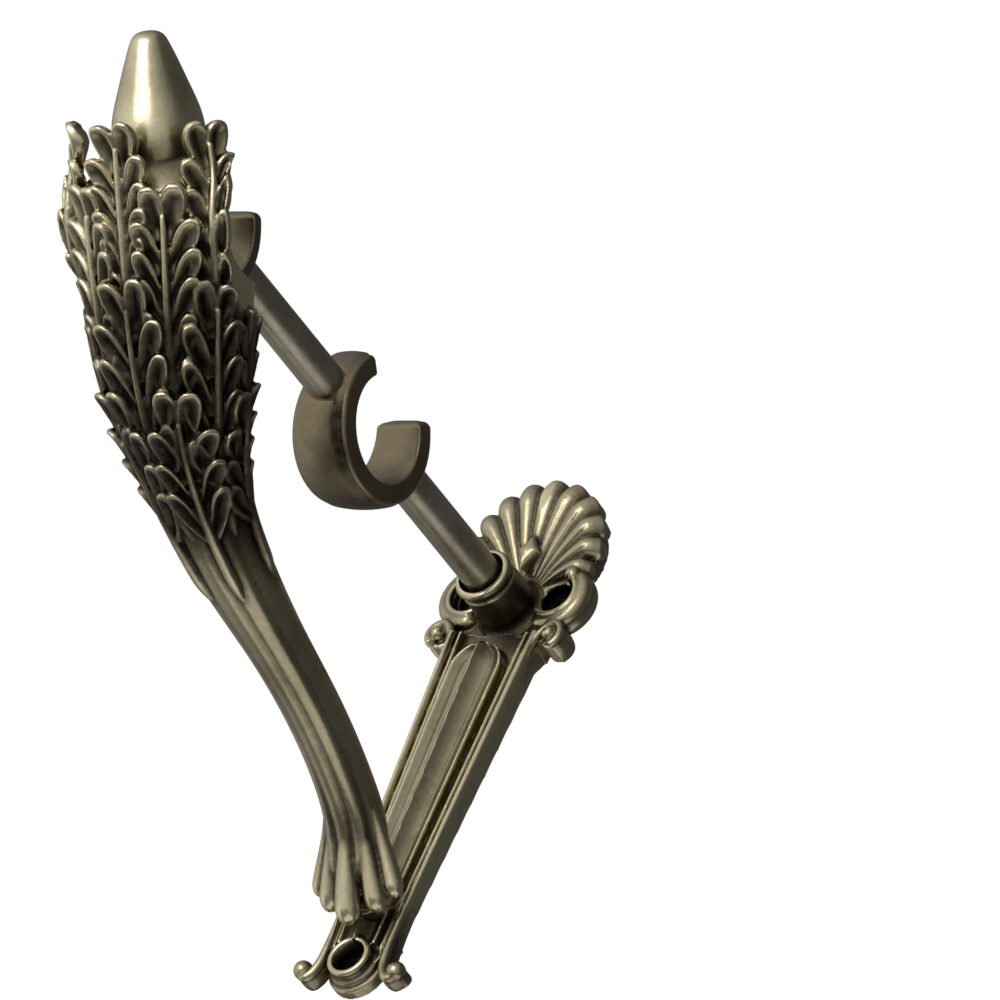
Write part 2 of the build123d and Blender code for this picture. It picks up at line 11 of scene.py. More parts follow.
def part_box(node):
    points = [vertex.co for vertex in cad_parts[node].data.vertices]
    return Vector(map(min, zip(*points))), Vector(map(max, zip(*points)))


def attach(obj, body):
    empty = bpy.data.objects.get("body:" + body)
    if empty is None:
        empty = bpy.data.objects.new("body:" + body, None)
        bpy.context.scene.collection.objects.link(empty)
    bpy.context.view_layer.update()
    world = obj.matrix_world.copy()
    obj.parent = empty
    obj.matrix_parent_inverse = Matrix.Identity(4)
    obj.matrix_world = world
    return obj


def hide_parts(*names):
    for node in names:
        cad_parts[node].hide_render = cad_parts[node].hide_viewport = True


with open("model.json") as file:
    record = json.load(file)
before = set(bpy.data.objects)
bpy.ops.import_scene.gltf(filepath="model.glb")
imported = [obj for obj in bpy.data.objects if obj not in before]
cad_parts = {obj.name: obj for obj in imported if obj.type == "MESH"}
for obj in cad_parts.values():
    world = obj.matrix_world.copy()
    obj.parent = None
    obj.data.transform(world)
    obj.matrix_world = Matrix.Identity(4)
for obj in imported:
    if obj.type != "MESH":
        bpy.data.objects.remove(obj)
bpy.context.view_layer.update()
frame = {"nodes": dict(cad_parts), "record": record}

bl_info = {
    "name": "Leaf bracket looks",
    "version": (1, 0, 0),
    "blender": (4, 5, 0),
    "location": "View3D > Sidebar > Bracket",
    "description": "Cast bronze looks for a double curtain pole bracket",
    "category": "Object",
}

# Sizes below are in millimetres, as in the maker's drawing, and meshes are written in metres
MM = 0.001
MOUNTS = {mount["name"]: mount for mount in frame["record"]["mounts"]}
REAR_REACH = -MOUNTS["rear_pole"]["pos_m"][1] / MM
FRONT_REACH = -MOUNTS["front_pole"]["pos_m"][1] / MM
REAR_BORE_R = MOUNTS["rear_pole"]["dims"]["r_mm"]
FRONT_BORE_R = MOUNTS["front_pole"]["dims"]["r_mm"]
WALL_SCREW_R = MOUNTS["lower_wall_screw"]["dims"]["r_mm"]
FOOT_HOLE_Z = MOUNTS["lower_wall_screw"]["pos_m"][2] / MM
VOLUTE_X = MOUNTS["upper_wall_screws"]["dims"]["spacing_x_mm"] / 2
VOLUTE_Z = MOUNTS["upper_wall_screws"]["pos_m"][2] / MM
ROD_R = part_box("rear_rod")[1].x / MM
FAR = 60.0
OUT = (0, -1, 0)
SQUARE = ((-1, -1), (1, -1), (1, 1), (-1, 1))

# Smooth ring cups
CUP_R = 18.75
CUP_WIDTH_LOW = 17.0
CUP_WIDTH_HIGH = 12.0
CUP_LIP_ANGLE = 44.0
CUP_CROWN = 1.0
CUP_EDGE = 1.5
CUP_LIP_ROUND = 2.2
LAND_DEPTH = 0.7
SPIGOT_R = 3.1
SPIGOT_DEPTH = 3.0
CUP_INNER_EDGE = 0.8
CUP_CROWN_AT = (0.0, 0.3, 0.6, 0.85)
CUP_LIP_LEAST = (0.55, 0.25)
CUP_LIP_ROWS = 9
CUP_ROWS = 90
CUP_EDGE_POINTS = 7
LAND_ROOM = 0.6
LAND_REACH = 6.0

# Wall plate: tray and tongue of the shaft, the pocket behind them, and how much darker or lighter the plate
# is made by height
SHAFT_TOP_Z = -8.0
SHAFT_BOTTOM_Z = -97.0
SHAFT_HALF = 13.0
SHAFT_TAPER = 0.72
SHAFT_BACK_IN = 2.0
SHAFT_ACROSS = 161
SHAFT_ROWS = 30
SHAFT_END = (0.8, 6.0)
SHAFT_END_ROWS = 8
SHAFT_END_SINKS = 0.7
SHAFT_END_NARROWS = 0.2
TRAY_FLOOR = 5.8
SHOULDER = 6.8
BEAD = (11.95, 1.05, 1.5)
RIB = (9.5, 0.7, 0.9)
GROOVES = ((10.55, 0.3, 0.9), (8.6, 0.3, 0.4))
TONGUE_HALF = 7.5
TONGUE_TOP_Z = -12.0
TONGUE_RIM = 0.7
TONGUE_RIM_REACH = 9.2
TONGUE_CREST = 11.2
TONGUE_ACROSS = 101
TONGUE_SHARP = 1.7
FLUTE_FLOOR = 7.4
FLUTE_AT = 0.55
ARCH_START = 0.05
ARCH_ROWS = 24
ARCH_GAP = 3.0
ARCH_BLEND = 0.75
POCKET = (5.5, -46.0, 22.0)
POCKET_DEPTH = 4.0
WALL_CUT = (-40.0, 160.0)
WALL_PAST = 1.0
# How much darker the plate is made: darker at the foot and on the boss, lighter along the shaft
PLATE_DARKENING = [(-96, 0.45), (-84, -0.6), (-18, -0.6), (-9, 0.1)]
BOSS_DARKENING = 0.75
BOSS_DARKENING_OUT = 1.0

# Wall plate: boss, with the rows of its flare and neck and the half axes of its rim
BOSS_R = 7.0
BOSS_REACH = 19.5
BOSS_LIP = 0.3
BOSS_FLARE = [(1.4, 0.0), (0.4, 1.2), (0.0, 2.6)]
BOSS_NECK = [(0.0, 3.4), (0.25, 3.0)]
BOSS_RIM = (1.1, 1.15)
BOSS_RIM_TURNS = (-0.4, 0.5)
BOSS_RIM_ROWS = 9
BOSS_MOUTH_R = 5.9
BOSS_MOUTH_DEPTH = 4.0
BOSS_FLOOR = 4.0
GRUB_R = 2.1
GRUB_REACH = 12.0

# Wall plate: head and its volutes, where turns are the first, the last and the number of points
HEAD_FLOOR = 5.2
HEAD_FIELD = (-1.0, 11.0)
HEAD_FIELD_SUNK = 0.4
VOLUTE_R = 6.9
VOLUTE_SUNK = 0.8
VOLUTE_TURNS = (-122, 66, 12)
VOLUTE_BAND = 2.2
VOLUTE_ENDS = (-0.05, 0.1)
VOLUTE_END_LEAST = 0.05
VOLUTE_RIDGE = (1.1, 1.9, 0.7)
VOLUTE_RIDGE_TURNS = (-125, 52, 40)
VOLUTE_EYE = (3.0, 5.6, 2.0)
VOLUTE_EYE_UP = 1.6
VOLUTE_EYE_POST = 1.9
WALL_SCREWS = ((-VOLUTE_X, VOLUTE_Z), (VOLUTE_X, VOLUTE_Z), (0, FOOT_HOLE_Z))
SCREW_RECESS_R = 4.3
SCREW_RECESS_FLOOR = 2.6

# Wall plate: ears and hooks, each a line through x and z, and a ball of x, z and radius
EAR = [(11.2, -19.0), (11.6, -13.5), (13.0, -8.2), (15.6, -5.4), (18.2, -6.6), (18.7, -9.4), (17.3, -11.2)]
EAR_BALL = (16.2, -8.4, 1.7)
EAR_BALL_UP = 0.5
EAR_BAND = (0.5, 0.6, 0.35)
EAR_WEB = (1.4, 0.9)
HOOK = [(8.9, -86.0), (8.7, -94.0), (9.0, -99.8), (10.1, -103.9), (12.0, -105.5), (13.8, -104.4)]
HOOK_BALL = (13.5, -103.5, 2.4)
HOOK_BAND = (0.8, 1.35)
HOOK_REACH = (5.6, 4.2)
HOOK_POST = (0.4, 4.0)
BAND_POINTS = 60
BAND_WALL = 0.94

# Wall plate: shell, and the lozenge at its root
SHELL_FOCUS_Z = 5.0
SHELL_TOP = 31.0
SHELL_SIDE = 20.5
SHELL_SPREAD = 68.0
SHELL_LEAN = 9.0
SHELL_RIBS = 11
SHELL_POINTS = 40
SHELL_INNER = 4.0
SHELL_SHORT = 5.4
SHELL_BOW = 0.2
SHELL_RIB_LEAST = 0.6
SHELL_RIB_FULL = 1.12
SHELL_RIB_FLAT = 1.1
SHELL_RISE = 3.0
SHELL_BELLY = 0.6
SHELL_ROLL = 2.6
SHELL_ROLL_FROM = 0.8
SHELL_TIP = (0.88, 1.03)
SHELL_TIP_LEAST = 0.03
SHELL_BACK_POINTS = 31
SHELL_BACK_SHARE = 0.86
SHELL_BACK_REACH = 2.2
LOZENGE = np.array([(2.9, 0.6), (0, 5.2), (-2.9, 0.6), (0, -4.6)])
LOZENGE_Z = 14.6
LOZENGE_LAYERS = [(1.0, 2.0), (1.0, 8.0), (0.7, 8.8), (0.15, 9.2)]

# Wall plate: seat of the brace, stepped foot and the foot screw
SEAT_Z = -84.0
SEAT_REACH = 9.2
SEAT_R = 6.8
FOOT_END_R = 7.6
FOOT_STEPS = 3
FOOT_STEP_IN = 1.0
FOOT_STEP_UP = (3.0, 1.4)
FOOT_STEP_EDGE = 0.5
FOOT_RIM = (0.6, 6.4, 0.85)
FOOT_WEB = (2.0, 6.5, 4.4)
FOOT_SCREW_R = 2.1
FOOT_SCREW_HEAD_R = 3.9

# Brace: its middle line and half widths, as in the solid model
HEAD_LEAN = 44.6
HEAD_OFFSET = 9.6
HEAD_BACK = 52.0
HEAD_TIP = 45.5
STEM_WAYS = [(0.09, 0.29), (0.175, 0.41), (0.455, 0.61), (0.765, 0.76)]
FOOT_AXIS_REACH = 3.5
FOOT_AXIS_DROP = 4.0
STEM_SHAPE = [
    (0.0, 7.6, 5.0), (0.1, 8.0, 5.6), (0.2, 7.2, 6.0),
    (0.4, 6.9, 6.2), (0.6, 7.4, 6.7), (0.8, 9.2, 8.2),
]
BODY_SHAPE = [(-60, 11.4, 9.8), (-40, 16.4, 13.2), (-17, 19.8, 15.8), (6, 21.4, 16.6), (26, 20.0, 16.0)]
CORE_CLOSES = (8.0, 20.0)
CORE_TOP = 22.0
CORE_TOP_R = 9.6
CORE_BACK = (95.0, 150.0)
CORE_BACK_EARLY = 9.0
CORE_ROWS = 170
BODY_SQUARE = 2.2
LINE_POINTS = 800
TABLE_ROWS = 400
STEM_DIPS = [(24, 7, 1.0), (64, 8, 0.8)]
STEM_SWELLS = [(0, 16, 0.35), (44, 12, 0.3)]
STEM_DEPTH = (0.55, 0.75)
STEM_DEEP = (8, 44)
STEM_FADES = (-4, 26)
FOOT_PAD = [(6.3, -2.0), (6.3, 2.0), (5.4, 6.0)]
STEM_DOME = 9.0
BUD_SHAPE = [
    (10.4, 8.0), (10.9, 19.0), (10.7, 24.0), (9.4, 29.3), (7.9, 33.6), (6.2, 38.5),
    (4.6, 42.6), (3.5, 44.5), (2.0, 45.3), (0.6, 45.5),
]
BUD_ROWS = 40
BUD_AXIS = -40

# Leaves: the start, length, half step round and first row of leaflets of each tier, then each row's
# place, turn, length and width on a leaf
LEAF_TIERS = [(-23, 48, 0, 0.0), (-42, 51, 1, 0.0), (-68, 55, 0, 0.15), (-86, 48, 1, 0.3)]
LEAF_STEP = 68.0
LEAF_EACH_WAY = 2
LEAF_BACK_LIMIT = 110.0
LEAF_BEHIND = 90.0
LEAFLET_ROWS = [
    (0.01, 18, 0.25, 0.85), (0.17, 24, 0.27, 0.95), (0.33, 29, 0.27, 1.0),
    (0.48, 33, 0.26, 1.0), (0.63, 33, 0.25, 1.1), (0.78, 15, 0.25, 1.2),
]
LEAFLET_HALF = 2.75
LEAFLET_CREST = 0.7
LEAFLET_FOLD = 0.85
LEAFLET_FOLD_ENDS = ((0.02, 0.3), (0.7, 0.93))
LEAFLET_CROWD = 1.4
LEAFLET_BOW = (1.25, 0.75)
LEAFLET_NECK = 0.62
LEAFLET_NECK_END = 0.6
LEAFLET_ROUND = (0.58, 0.004, 2.2)
LEAFLET_TIP = 0.9
LEAFLET_BED = 0.9
LEAFLET_FREE = 0.55
LEAFLET_ROOT = 1.4
LEAFLET_THICK = 1.6
LEAFLET_LEAST = 0.9
LEAFLET_LIFT = (0.8, 1.8)
LEAFLET_ASIDE = 0.8
LEAFLET_PROBE = 0.8
LEAF_TURNS_BACK = 1.75
LEAF_TAIL = 0.24
STALK_TOP = 0.9
LEAF_HUG = 0.6
LEAF_BESIDE = 60.0
LEAF_FLAT = 0.5
LEAF_CURL_LOW = 0.5
STALK_R = 1.4
STALK_FULL = 0.1
STALK_THINS = 0.5
STALK_LEAST = 0.05
STALK_HEIGHT = 1.5
STALK_SUNK = 1.6
STALK_PROBE = 3.0
STALK_POINTS = 40
UNEVEN = (6.0, 0.12, 0.5)
UNEVEN_MIX = (2.3, (0.0, 4.1, 9.7), 12.9898)
# Brace, by place along the head: how much darker it is made, with painted shade deep among the leaves on top
# of their patina, a little on the foot, none on the stem and on the bud
BRACE_PATINA_AND_SHADE = [
    (-165, 0.3), (-145, 0.25), (-128, 0.0), (-92, 0.0), (-66, 1.15), (-22, 1.05), (2, 0.1), (24, 0.0),
]

# Toes: points of x, reach and z, and the radius at the tip
TOES = [
    ([(0.0, 35.0, -72.4), (0.0, 26.2, -77.6), (0.0, 18.6, -85.6), (0.0, 10.6, -95.2)], 3.3),
    ([(3.0, 34.6, -71.8), (3.9, 25.6, -76.8), (5.3, 18.2, -83.6), (7.0, 10.8, -91.6)], 2.9),
    ([(5.8, 32.4, -69.6), (6.9, 24.2, -75.2), (8.8, 17.8, -81.0), (11.2, 11.8, -88.0)], 2.4),
]
TOE_ROOT_R = 0.8
TOE_FULL = 0.9
TOE_ROUND = (0.87, 0.02)
TOE_POINTS = 48
TOE_PATH = 200

# Room that the leaves and the cuts leave for the pole and the seats
POLE_GAP = 2.2
POLE_NEAR = 6.0
POLE_SPREAD = 0.55
POLE_DEEP = 7.0
POLE_BEHIND = 19.0
POLE_TURN = 3.0
POLE_LEAN = 0.5
POLE_ROOM = 0.25
SEAT_ROOM = 0.1
FOOT_CUT = 30.0
TINY = 0.01
DOME_LEAST = 0.02

# Points along and round the forms
LEAF_ALONG = 21
LEAF_ACROSS = 19
TUBE_SIDES = 20
TURNED_SIDES = 48
FINE_SIDES = 64
BODY_SIDES = 96
BALL_SIDES = 20
BALL_ROWS = 12
BALL_POLE = 0.04

# Skin of the castings: soft corners, sharp edges, and for each relief its steps of blur and its span
UPRIGHT = 0.9
SOFTEN = 0.5
SOFTEN_STEPS = 2
SHARP_CAST = 60.0
SHARP_CUP = 40.0
BLUR_KEEP = 0.35
RELIEF_LAYERS = (("relief_near", 14, 0.35), ("relief_wide", 110, 1.6))

# View of the photograph: sides of the square image in pixels, its scale and where the frame's origin falls
IMAGE_SIDE = 1000
PIXELS_PER_MM = 4.3
ORIGIN_PIXEL = (521.6, 623.0)
IMAGE_RIGHT = Vector((0.794, 0.486, 0.3645))
IMAGE_UP = Vector((0.0, -0.6, 0.8))
CAMERA_FAR = 50.0

# Looks: roughness from the least to the most, strength and depth of the bumps, colour sockets of a mix
# node, and each mask of the relief with its share of the wider relief and its stops
CUP_ROUGH = (0.26, 0.4)
ROD_ROUGH = (0.3, 0.42)
SCREW_ROUGH = (0.3, 0.45)
CAST_ROUGH = (0.27, 0.46)
CAST_CLOUDS = {"Scale": 70.0, "Low": 0.72, "High": 1.12}
CAST_RAGGED = 0.16
CAST_BUMP = (0.12, 0.4 * MM)
SMOOTH_CLOUDS = {"Scale": 45.0, "Low": 0.7, "High": 1.15}
SMOOTH_MOTTLE = (0.35, 0.65)
SMOOTH_BUMP = (0.05, 0.2 * MM)
CLOUD_SPAN = (0.3, 0.7)
MOTTLE_FINER = 9.0
MIX_COLOURS = (6, 7)
MIX_RESULT = 2
RELIEF_MASKS = (
    ("Rubbed", 0.45, ((0.5, 0.0), (0.85, 1.0))),
    # dark of the hollows: the casting's patina together with painted shade
    ("Patina", 0.62, ((0.08, 1.0), (0.32, 0.66), (0.52, 0.0))),
)

# Stage: ways are to the right, up and back in the photograph's view, and each light has a distance and a size
LIGHTS = (
    ("key_light", (-0.62, 0.6, 0.7), 1.3, 0.9),
    ("fill_light", (0.75, 0.35, 0.75), 1.4, 0.7),
    ("low_light", (0.05, -0.9, 0.2), 1.2, 1.4),
)
LIGHT_AIM = Vector((0, -0.09, -0.03))
ROOM_BRIGHT = (-0.85, 0.25, 0.4)
ROOM_SWEEP = ((0.33, 0.1), (0.9, 1.0))
WHITE = (1.0, 1.0, 1.0, 1.0)
FLOOR_HALF = 6.0
FLOOR_ROUGH = 0.9


# Curves

def smooth_through(points, count):
    """Points on a natural cubic spline through the given ones, close together."""
    points = np.asarray(points, float)
    knots = np.concatenate([[0], np.cumsum(np.linalg.norm(np.diff(points, axis=0), axis=1))])
    gaps = np.diff(knots)
    size = len(points)
    system = np.eye(size)
    target = np.zeros_like(points)
    for i in range(1, size - 1):
        system[i, i - 1] = gaps[i - 1]
        system[i, i] = 2 * (gaps[i - 1] + gaps[i])
        system[i, i + 1] = gaps[i]
        rise = (points[i + 1] - points[i]) / gaps[i]
        fall = (points[i] - points[i - 1]) / gaps[i - 1]
        target[i] = 6 * (rise - fall)
    bend = np.linalg.solve(system, target)
    along = np.linspace(0, knots[-1], count)
    span = np.clip(np.searchsorted(knots, along, side="right") - 1, 0, size - 2)
    gap = gaps[span][:, None]
    ahead = (along - knots[span])[:, None]
    behind = gap - ahead
    return (
        (bend[span] * behind ** 3 + bend[span + 1] * ahead ** 3) / (6 * gap)
        + (points[span] / gap - bend[span] * gap / 6) * behind
        + (points[span + 1] / gap - bend[span + 1] * gap / 6) * ahead
    )


def unit(vectors):
    """The same vectors at length 1."""
    return vectors / np.linalg.norm(vectors, axis=-1, keepdims=True)


def hump(x, middle, half):
    """Bell that is 1 at its middle."""
    return np.exp(-(((x - middle) / half) ** 2))


def ease(x, start, end):
    """Smooth step from 0 to 1."""
    t = np.clip((x - start) / (end - start), 0, 1)
    return t * t * (3 - 2 * t)


def rounded(t, start, least, power=2.0):
    """Share of the full width along a form that is rounded off from a start to its end."""
    return np.sqrt(np.clip(1 - np.clip((t - start) / (1 - start), 0, 1) ** power, least, 1))


def at(x, reach, z):
    """Points at a distance out from the wall."""
    x, reach, z = np.broadcast_arrays(x, reach, z)
    return np.stack([x, -reach, z], axis=-1).astype(float)


# Castings

class Casting:
    """Closed forms that are cast together into one piece."""

    def __init__(self):
        self.points = []
        self.faces = []
        self.count = 0

    def add(self, points, faces):
        """One closed form."""
        self.points.append(np.asarray(points, float))
        self.faces += [tuple(i + self.count for i in face) for face in faces]
        self.count += len(points)

    def skin(self, rings):
        """Skin over a row of rings, closed at both ends."""
        rings = np.asarray(rings, float)
        rows, sides = rings.shape[:2]
        points = np.concatenate([rings.reshape(-1, 3), rings[:1].mean(1), rings[-1:].mean(1)])
        faces = []
        for row in range(rows - 1):
            here = row * sides
            for i in range(sides):
                j = (i + 1) % sides
                faces.append((here + i, here + j, here + sides + j, here + sides + i))
        last = (rows - 1) * sides
        for i in range(sides):
            j = (i + 1) % sides
            faces.append((j, i, rows * sides))
            faces.append((last + i, last + j, rows * sides + 1))
        corners = [face[:3] for face in faces]
        corners += [(face[0], *face[2:]) for face in faces if len(face) == 4]
        a, b, c = (points[list(spots)] - points.mean(0) for spots in zip(*corners))
        inside_out = (a * np.cross(b, c)).sum() < 0
        self.add(points, [face[::-1] for face in faces] if inside_out else faces)

    def turned(self, rows, centre, axis=OUT, sides=TURNED_SIDES):
        """Turned form through the radius and height of each row, about an axis."""
        axis = unit(np.asarray(axis, float))
        side = unit(np.cross(axis, (0.0, 0.0, 1.0) if abs(axis[2]) < UPRIGHT else (1.0, 0.0, 0.0)))
        other = np.cross(axis, side)
        turns = np.linspace(0, 2 * math.pi, sides, endpoint=False)
        circle = np.cos(turns)[:, None] * side + np.sin(turns)[:, None] * other
        centre = np.asarray(centre, float)
        self.skin([centre + axis * height + circle * radius for radius, height in rows])

    def tube(self, path, radii, flat=1.0, out=OUT):
        """Tube along a path, of one or many radii, flattened along the way out."""
        path = np.asarray(path, float)
        radii = np.broadcast_to(np.asarray(radii, float), len(path))
        along = unit(np.gradient(path, axis=0))
        side = unit(np.cross(along, out))
        lift = np.cross(side, along)
        turns = np.linspace(0, 2 * math.pi, TUBE_SIDES, endpoint=False)
        ring = np.cos(turns)[:, None, None] * side + flat * np.sin(turns)[:, None, None] * lift
        self.skin(np.swapaxes(path + ring * radii[:, None], 0, 1))

    def ball(self, centre, radius):
        """Round ball."""
        turns = np.linspace(BALL_POLE, math.pi - BALL_POLE, BALL_ROWS)
        rows = [(radius * math.sin(t), -radius * math.cos(t)) for t in turns]
        self.turned(rows, centre, (0, 0, 1), BALL_SIDES)

    def block(self, half, middle_z, half_z, near, far):
        """Plain block about the middle plane, from one Y to another."""
        self.skin([[(half * a, y, middle_z + half_z * b) for a, b in SQUARE] for y in (near, far)])

    def sheet(self, top, bottom):
        """Closed sheet between two grids of the same size."""
        rows, columns = top.shape[:2]
        size = rows * columns
        index = np.arange(size).reshape(rows, columns)
        faces = []
        for r in range(rows - 1):
            for c in range(columns - 1):
                quad = (index[r, c], index[r, c + 1], index[r + 1, c + 1], index[r + 1, c])
                faces.append(quad)
                faces.append(tuple(i + size for i in reversed(quad)))
        rim = list(index[0, :]) + list(index[1:, -1]) + list(index[-1, -2::-1]) + list(index[-2:0:-1, 0])
        for i, j in zip(rim, rim[1:] + rim[:1]):
            faces.append((j, i, i + size, j + size))
        self.add(np.concatenate([top.reshape(-1, 3), bottom.reshape(-1, 3)]), faces)

    def mesh(self, name):
        """All forms as one mesh, in metres."""
        mesh = bpy.data.meshes.new(name)
        mesh.from_pydata((np.concatenate(self.points) * MM).tolist(), [], self.faces)
        mesh.validate()
        return mesh


def new_piece(name, casting):
    """Object of a casting, linked to the scene."""
    piece = bpy.data.objects.new(name, casting.mesh(name))
    bpy.context.scene.collection.objects.link(piece)
    return piece


def settle(piece):
    """Apply the piece's modifiers."""
    shaped = piece.evaluated_get(bpy.context.evaluated_depsgraph_get())
    mesh = bpy.data.meshes.new_from_object(shaped)
    old = piece.data
    piece.modifiers.clear()
    piece.data = mesh
    bpy.data.meshes.remove(old)
    mesh.name = piece.name


def pour(piece, voxel):
    """Run the forms of a piece into one skin with soft inner corners."""
    remesh = piece.modifiers.new("one_skin", "REMESH")
    remesh.mode = "VOXEL"
    remesh.voxel_size = voxel * MM
    smooth = piece.modifiers.new("soft_corners", "SMOOTH")
    smooth.factor = SOFTEN
    smooth.iterations = SOFTEN_STEPS
    settle(piece)


def cut(piece, cutters):
    """Cut forms out of a piece."""
    tools = [new_piece(f"{piece.name}_cutter", cutter) for cutter in cutters]
    for tool in tools:
        part = piece.modifiers.new("cut", "BOOLEAN")
        part.operation = "DIFFERENCE"
        part.solver = "MANIFOLD"
        part.object = tool
    settle(piece)
    for tool in tools:
        mesh = tool.data
        bpy.data.objects.remove(tool)
        bpy.data.meshes.remove(mesh)


def thin_out(piece, triangles):
    """Bring a piece down to about so many triangles."""
    count = sum(len(polygon.vertices) - 2 for polygon in piece.data.polygons)
    decimate = piece.modifiers.new("fewer_faces", "DECIMATE")
    decimate.ratio = min(1.0, triangles / count)
    settle(piece)
    piece.data.shade_smooth()
    piece.data.set_sharp_from_angle(angle=math.radians(SHARP_CAST))


def blurred(points, ends, steps):
    """Points moved towards the mean of their neighbours, again and again."""
    first, second = ends
    count = len(points)
    degree = np.bincount(first, minlength=count) + np.bincount(second, minlength=count)
    for _ in range(steps):
        total = np.empty_like(points)
        for k in range(3):
            total[:, k] = np.bincount(first, points[second, k], count)
            total[:, k] += np.bincount(second, points[first, k], count)
        points = BLUR_KEEP * points + (1 - BLUR_KEEP) * total / np.maximum(degree, 1)[:, None]
    return points


def mark_relief(piece, recesses=(), darkening=None):
    """Store how far each point stands out of its surroundings, near by and further round, from 0 to 1.

    Recesses, each a middle in x and z, a radius and a greatest reach, count as deep hollows. Where a
    darkening is given for the points, from 0 to 1, they count as that much deeper in their wider
    surroundings: on the brace this is painted shade deep among the leaves, on top of their patina.
    """
    mesh = piece.data
    count = len(mesh.vertices)
    points = np.empty(count * 3)
    mesh.vertices.foreach_get("co", points)
    normals = np.empty(count * 3)
    mesh.vertices.foreach_get("normal", normals)
    ends = np.empty(len(mesh.edges) * 2, int)
    mesh.edges.foreach_get("vertices", ends)
    points = points.reshape(-1, 3) / MM
    normals = normals.reshape(-1, 3)
    ends = (ends[0::2], ends[1::2])
    # the wider relief is low in deep hollows, where the patina mask paints both patina and shade
    for name, steps, span in RELIEF_LAYERS:
        height = ((points - blurred(points, ends, steps)) * normals).sum(1)
        for x, z, radius, reach in recesses:
            inside = np.hypot(points[:, 0] - x, points[:, 2] - z) < radius
            height[inside & (-points[:, 1] < reach)] = -span
        # painted shade among the leaves, and the plate's darker and lighter stretches, lower the wider relief
        if darkening and name == "relief_wide":
            height -= span * darkening(points)
        layer = mesh.attributes.new(name, "FLOAT", "POINT")
        layer.data.foreach_set("value", np.clip(0.5 + height / (2 * span), 0, 1))


# Leaf brace

class BraceLine:
    """Middle line of the brace, measured from its foot on the plate to the tip of the bud."""

    def __init__(self):
        lean = math.radians(HEAD_LEAN)
        along = np.array([math.cos(lean), math.sin(lean)])
        front = np.array([along[1], -along[0]])
        foot = np.array([SEAT_REACH + FOOT_AXIS_REACH, SEAT_Z - FOOT_AXIS_DROP])
        turn = np.array([FRONT_REACH, 0.0]) + HEAD_OFFSET * front
        neck = turn - along * HEAD_BACK
        ways = [foot + (neck - foot) * np.array(share) for share in STEM_WAYS]
        line = smooth_through([foot, *ways, neck, turn, turn + along * HEAD_TIP], LINE_POINTS)
        self.spots = at(0, line[:, 0], line[:, 1])
        steps = np.linalg.norm(np.diff(self.spots, axis=0), axis=1)
        self.s = np.concatenate([[0], np.cumsum(steps)])
        self.ways = unit(np.gradient(self.spots, axis=0))
        self.turn = self.s[-1] - HEAD_TIP
        self.middle = at(0, turn[0], turn[1])
        self.head = at(0, along[0], along[1])
        self.neck = self.turn + BODY_SHAPE[0][0]
        rows = [(self.neck * share, wide, deep) for share, wide, deep in STEM_SHAPE]
        rows += [(self.turn + u, wide, deep) for u, wide, deep in BODY_SHAPE]
        table = smooth_through(rows, TABLE_ROWS)
        self.table_s = table[:, 0]
        self.table_wide = table[:, 1]
        self.table_deep = table[:, 2]

    def radius(self, s, azimuth):
        """Distance of the plain body from the middle line, where azimuth 0 is its front."""
        wide = np.interp(s, self.table_s, self.table_wide)
        deep = np.interp(s, self.table_s, self.table_deep)
        across = np.abs(np.sin(azimuth) / wide) ** BODY_SQUARE
        return (across + np.abs(np.cos(azimuth) / deep) ** BODY_SQUARE) ** (-1 / BODY_SQUARE)

    def place(self, s, azimuth, height):
        """Points at a height over the plain body."""
        s, azimuth, height = np.broadcast_arrays(s, azimuth, height)
        spot = np.stack([np.interp(s, self.s, self.spots[:, k]) for k in range(3)], axis=-1)
        way = unit(np.stack([np.interp(s, self.s, self.ways[:, k]) for k in range(3)], axis=-1))
        front = np.stack([np.zeros_like(s, float), -way[..., 2], way[..., 1]], axis=-1)
        side = np.array([1.0, 0.0, 0.0])
        outward = np.sin(azimuth)[..., None] * side + np.cos(azimuth)[..., None] * front
        return spot + outward * (self.radius(s, azimuth) + height)[..., None]

    def spread(self, s, azimuth, height):
        """Points at a height over the leaves' bed: the plain body, spread sideways in front of the pole."""
        bed = self.place(s, azimuth, 0.0)
        outward = unit(self.place(s, azimuth, 1.0) - bed)
        from_pole = bed - np.array([0.0, -FRONT_REACH, 0.0])
        from_pole[..., 0] = 0.0
        away = np.maximum(np.linalg.norm(from_pole, axis=-1), TINY)[..., None]
        inner = FRONT_BORE_R + POLE_GAP
        share = np.clip(away / (inner + POLE_NEAR), 0, 1)
        moved = np.where(share < 1, inner + POLE_NEAR * share ** 3, away)
        push = from_pole / away * (moved - away)
        wider = np.sign(bed[..., :1]) * (moved - away) * POLE_SPREAD * np.array([1.0, 0.0, 0.0])
        near = ease(moved - away, 0.0, POLE_TURN)
        normal = unit((1 - near) * outward + near * unit(from_pole / away + POLE_LEAN * outward))
        return bed + push + wider + normal * np.broadcast_to(height, bed.shape[:-1])[..., None]

    def leaf_patina_and_shade(self, points):
        """How much darker points are made: the leaves' patina deepened by painted shade deep among them, a
        little on the foot, and none on the stem and on the bud.
        """
        u = (points - self.middle) @ self.head
        return np.interp(u, *zip(*BRACE_PATINA_AND_SHADE))

    def in_pole(self, s, azimuth):
        """Whether a spot of the plain body is deep inside the pole."""
        spot = self.place(s, azimuth, 0.0)
        return math.hypot(spot[1] + FRONT_REACH, spot[2]) < POLE_DEEP


def ridges(azimuth, table):
    """Height of rounded ridges that run along the stem, each with its middle, half width and rise."""
    return sum(rise * hump(azimuth, *np.radians((middle, half))) for middle, half, rise in table)


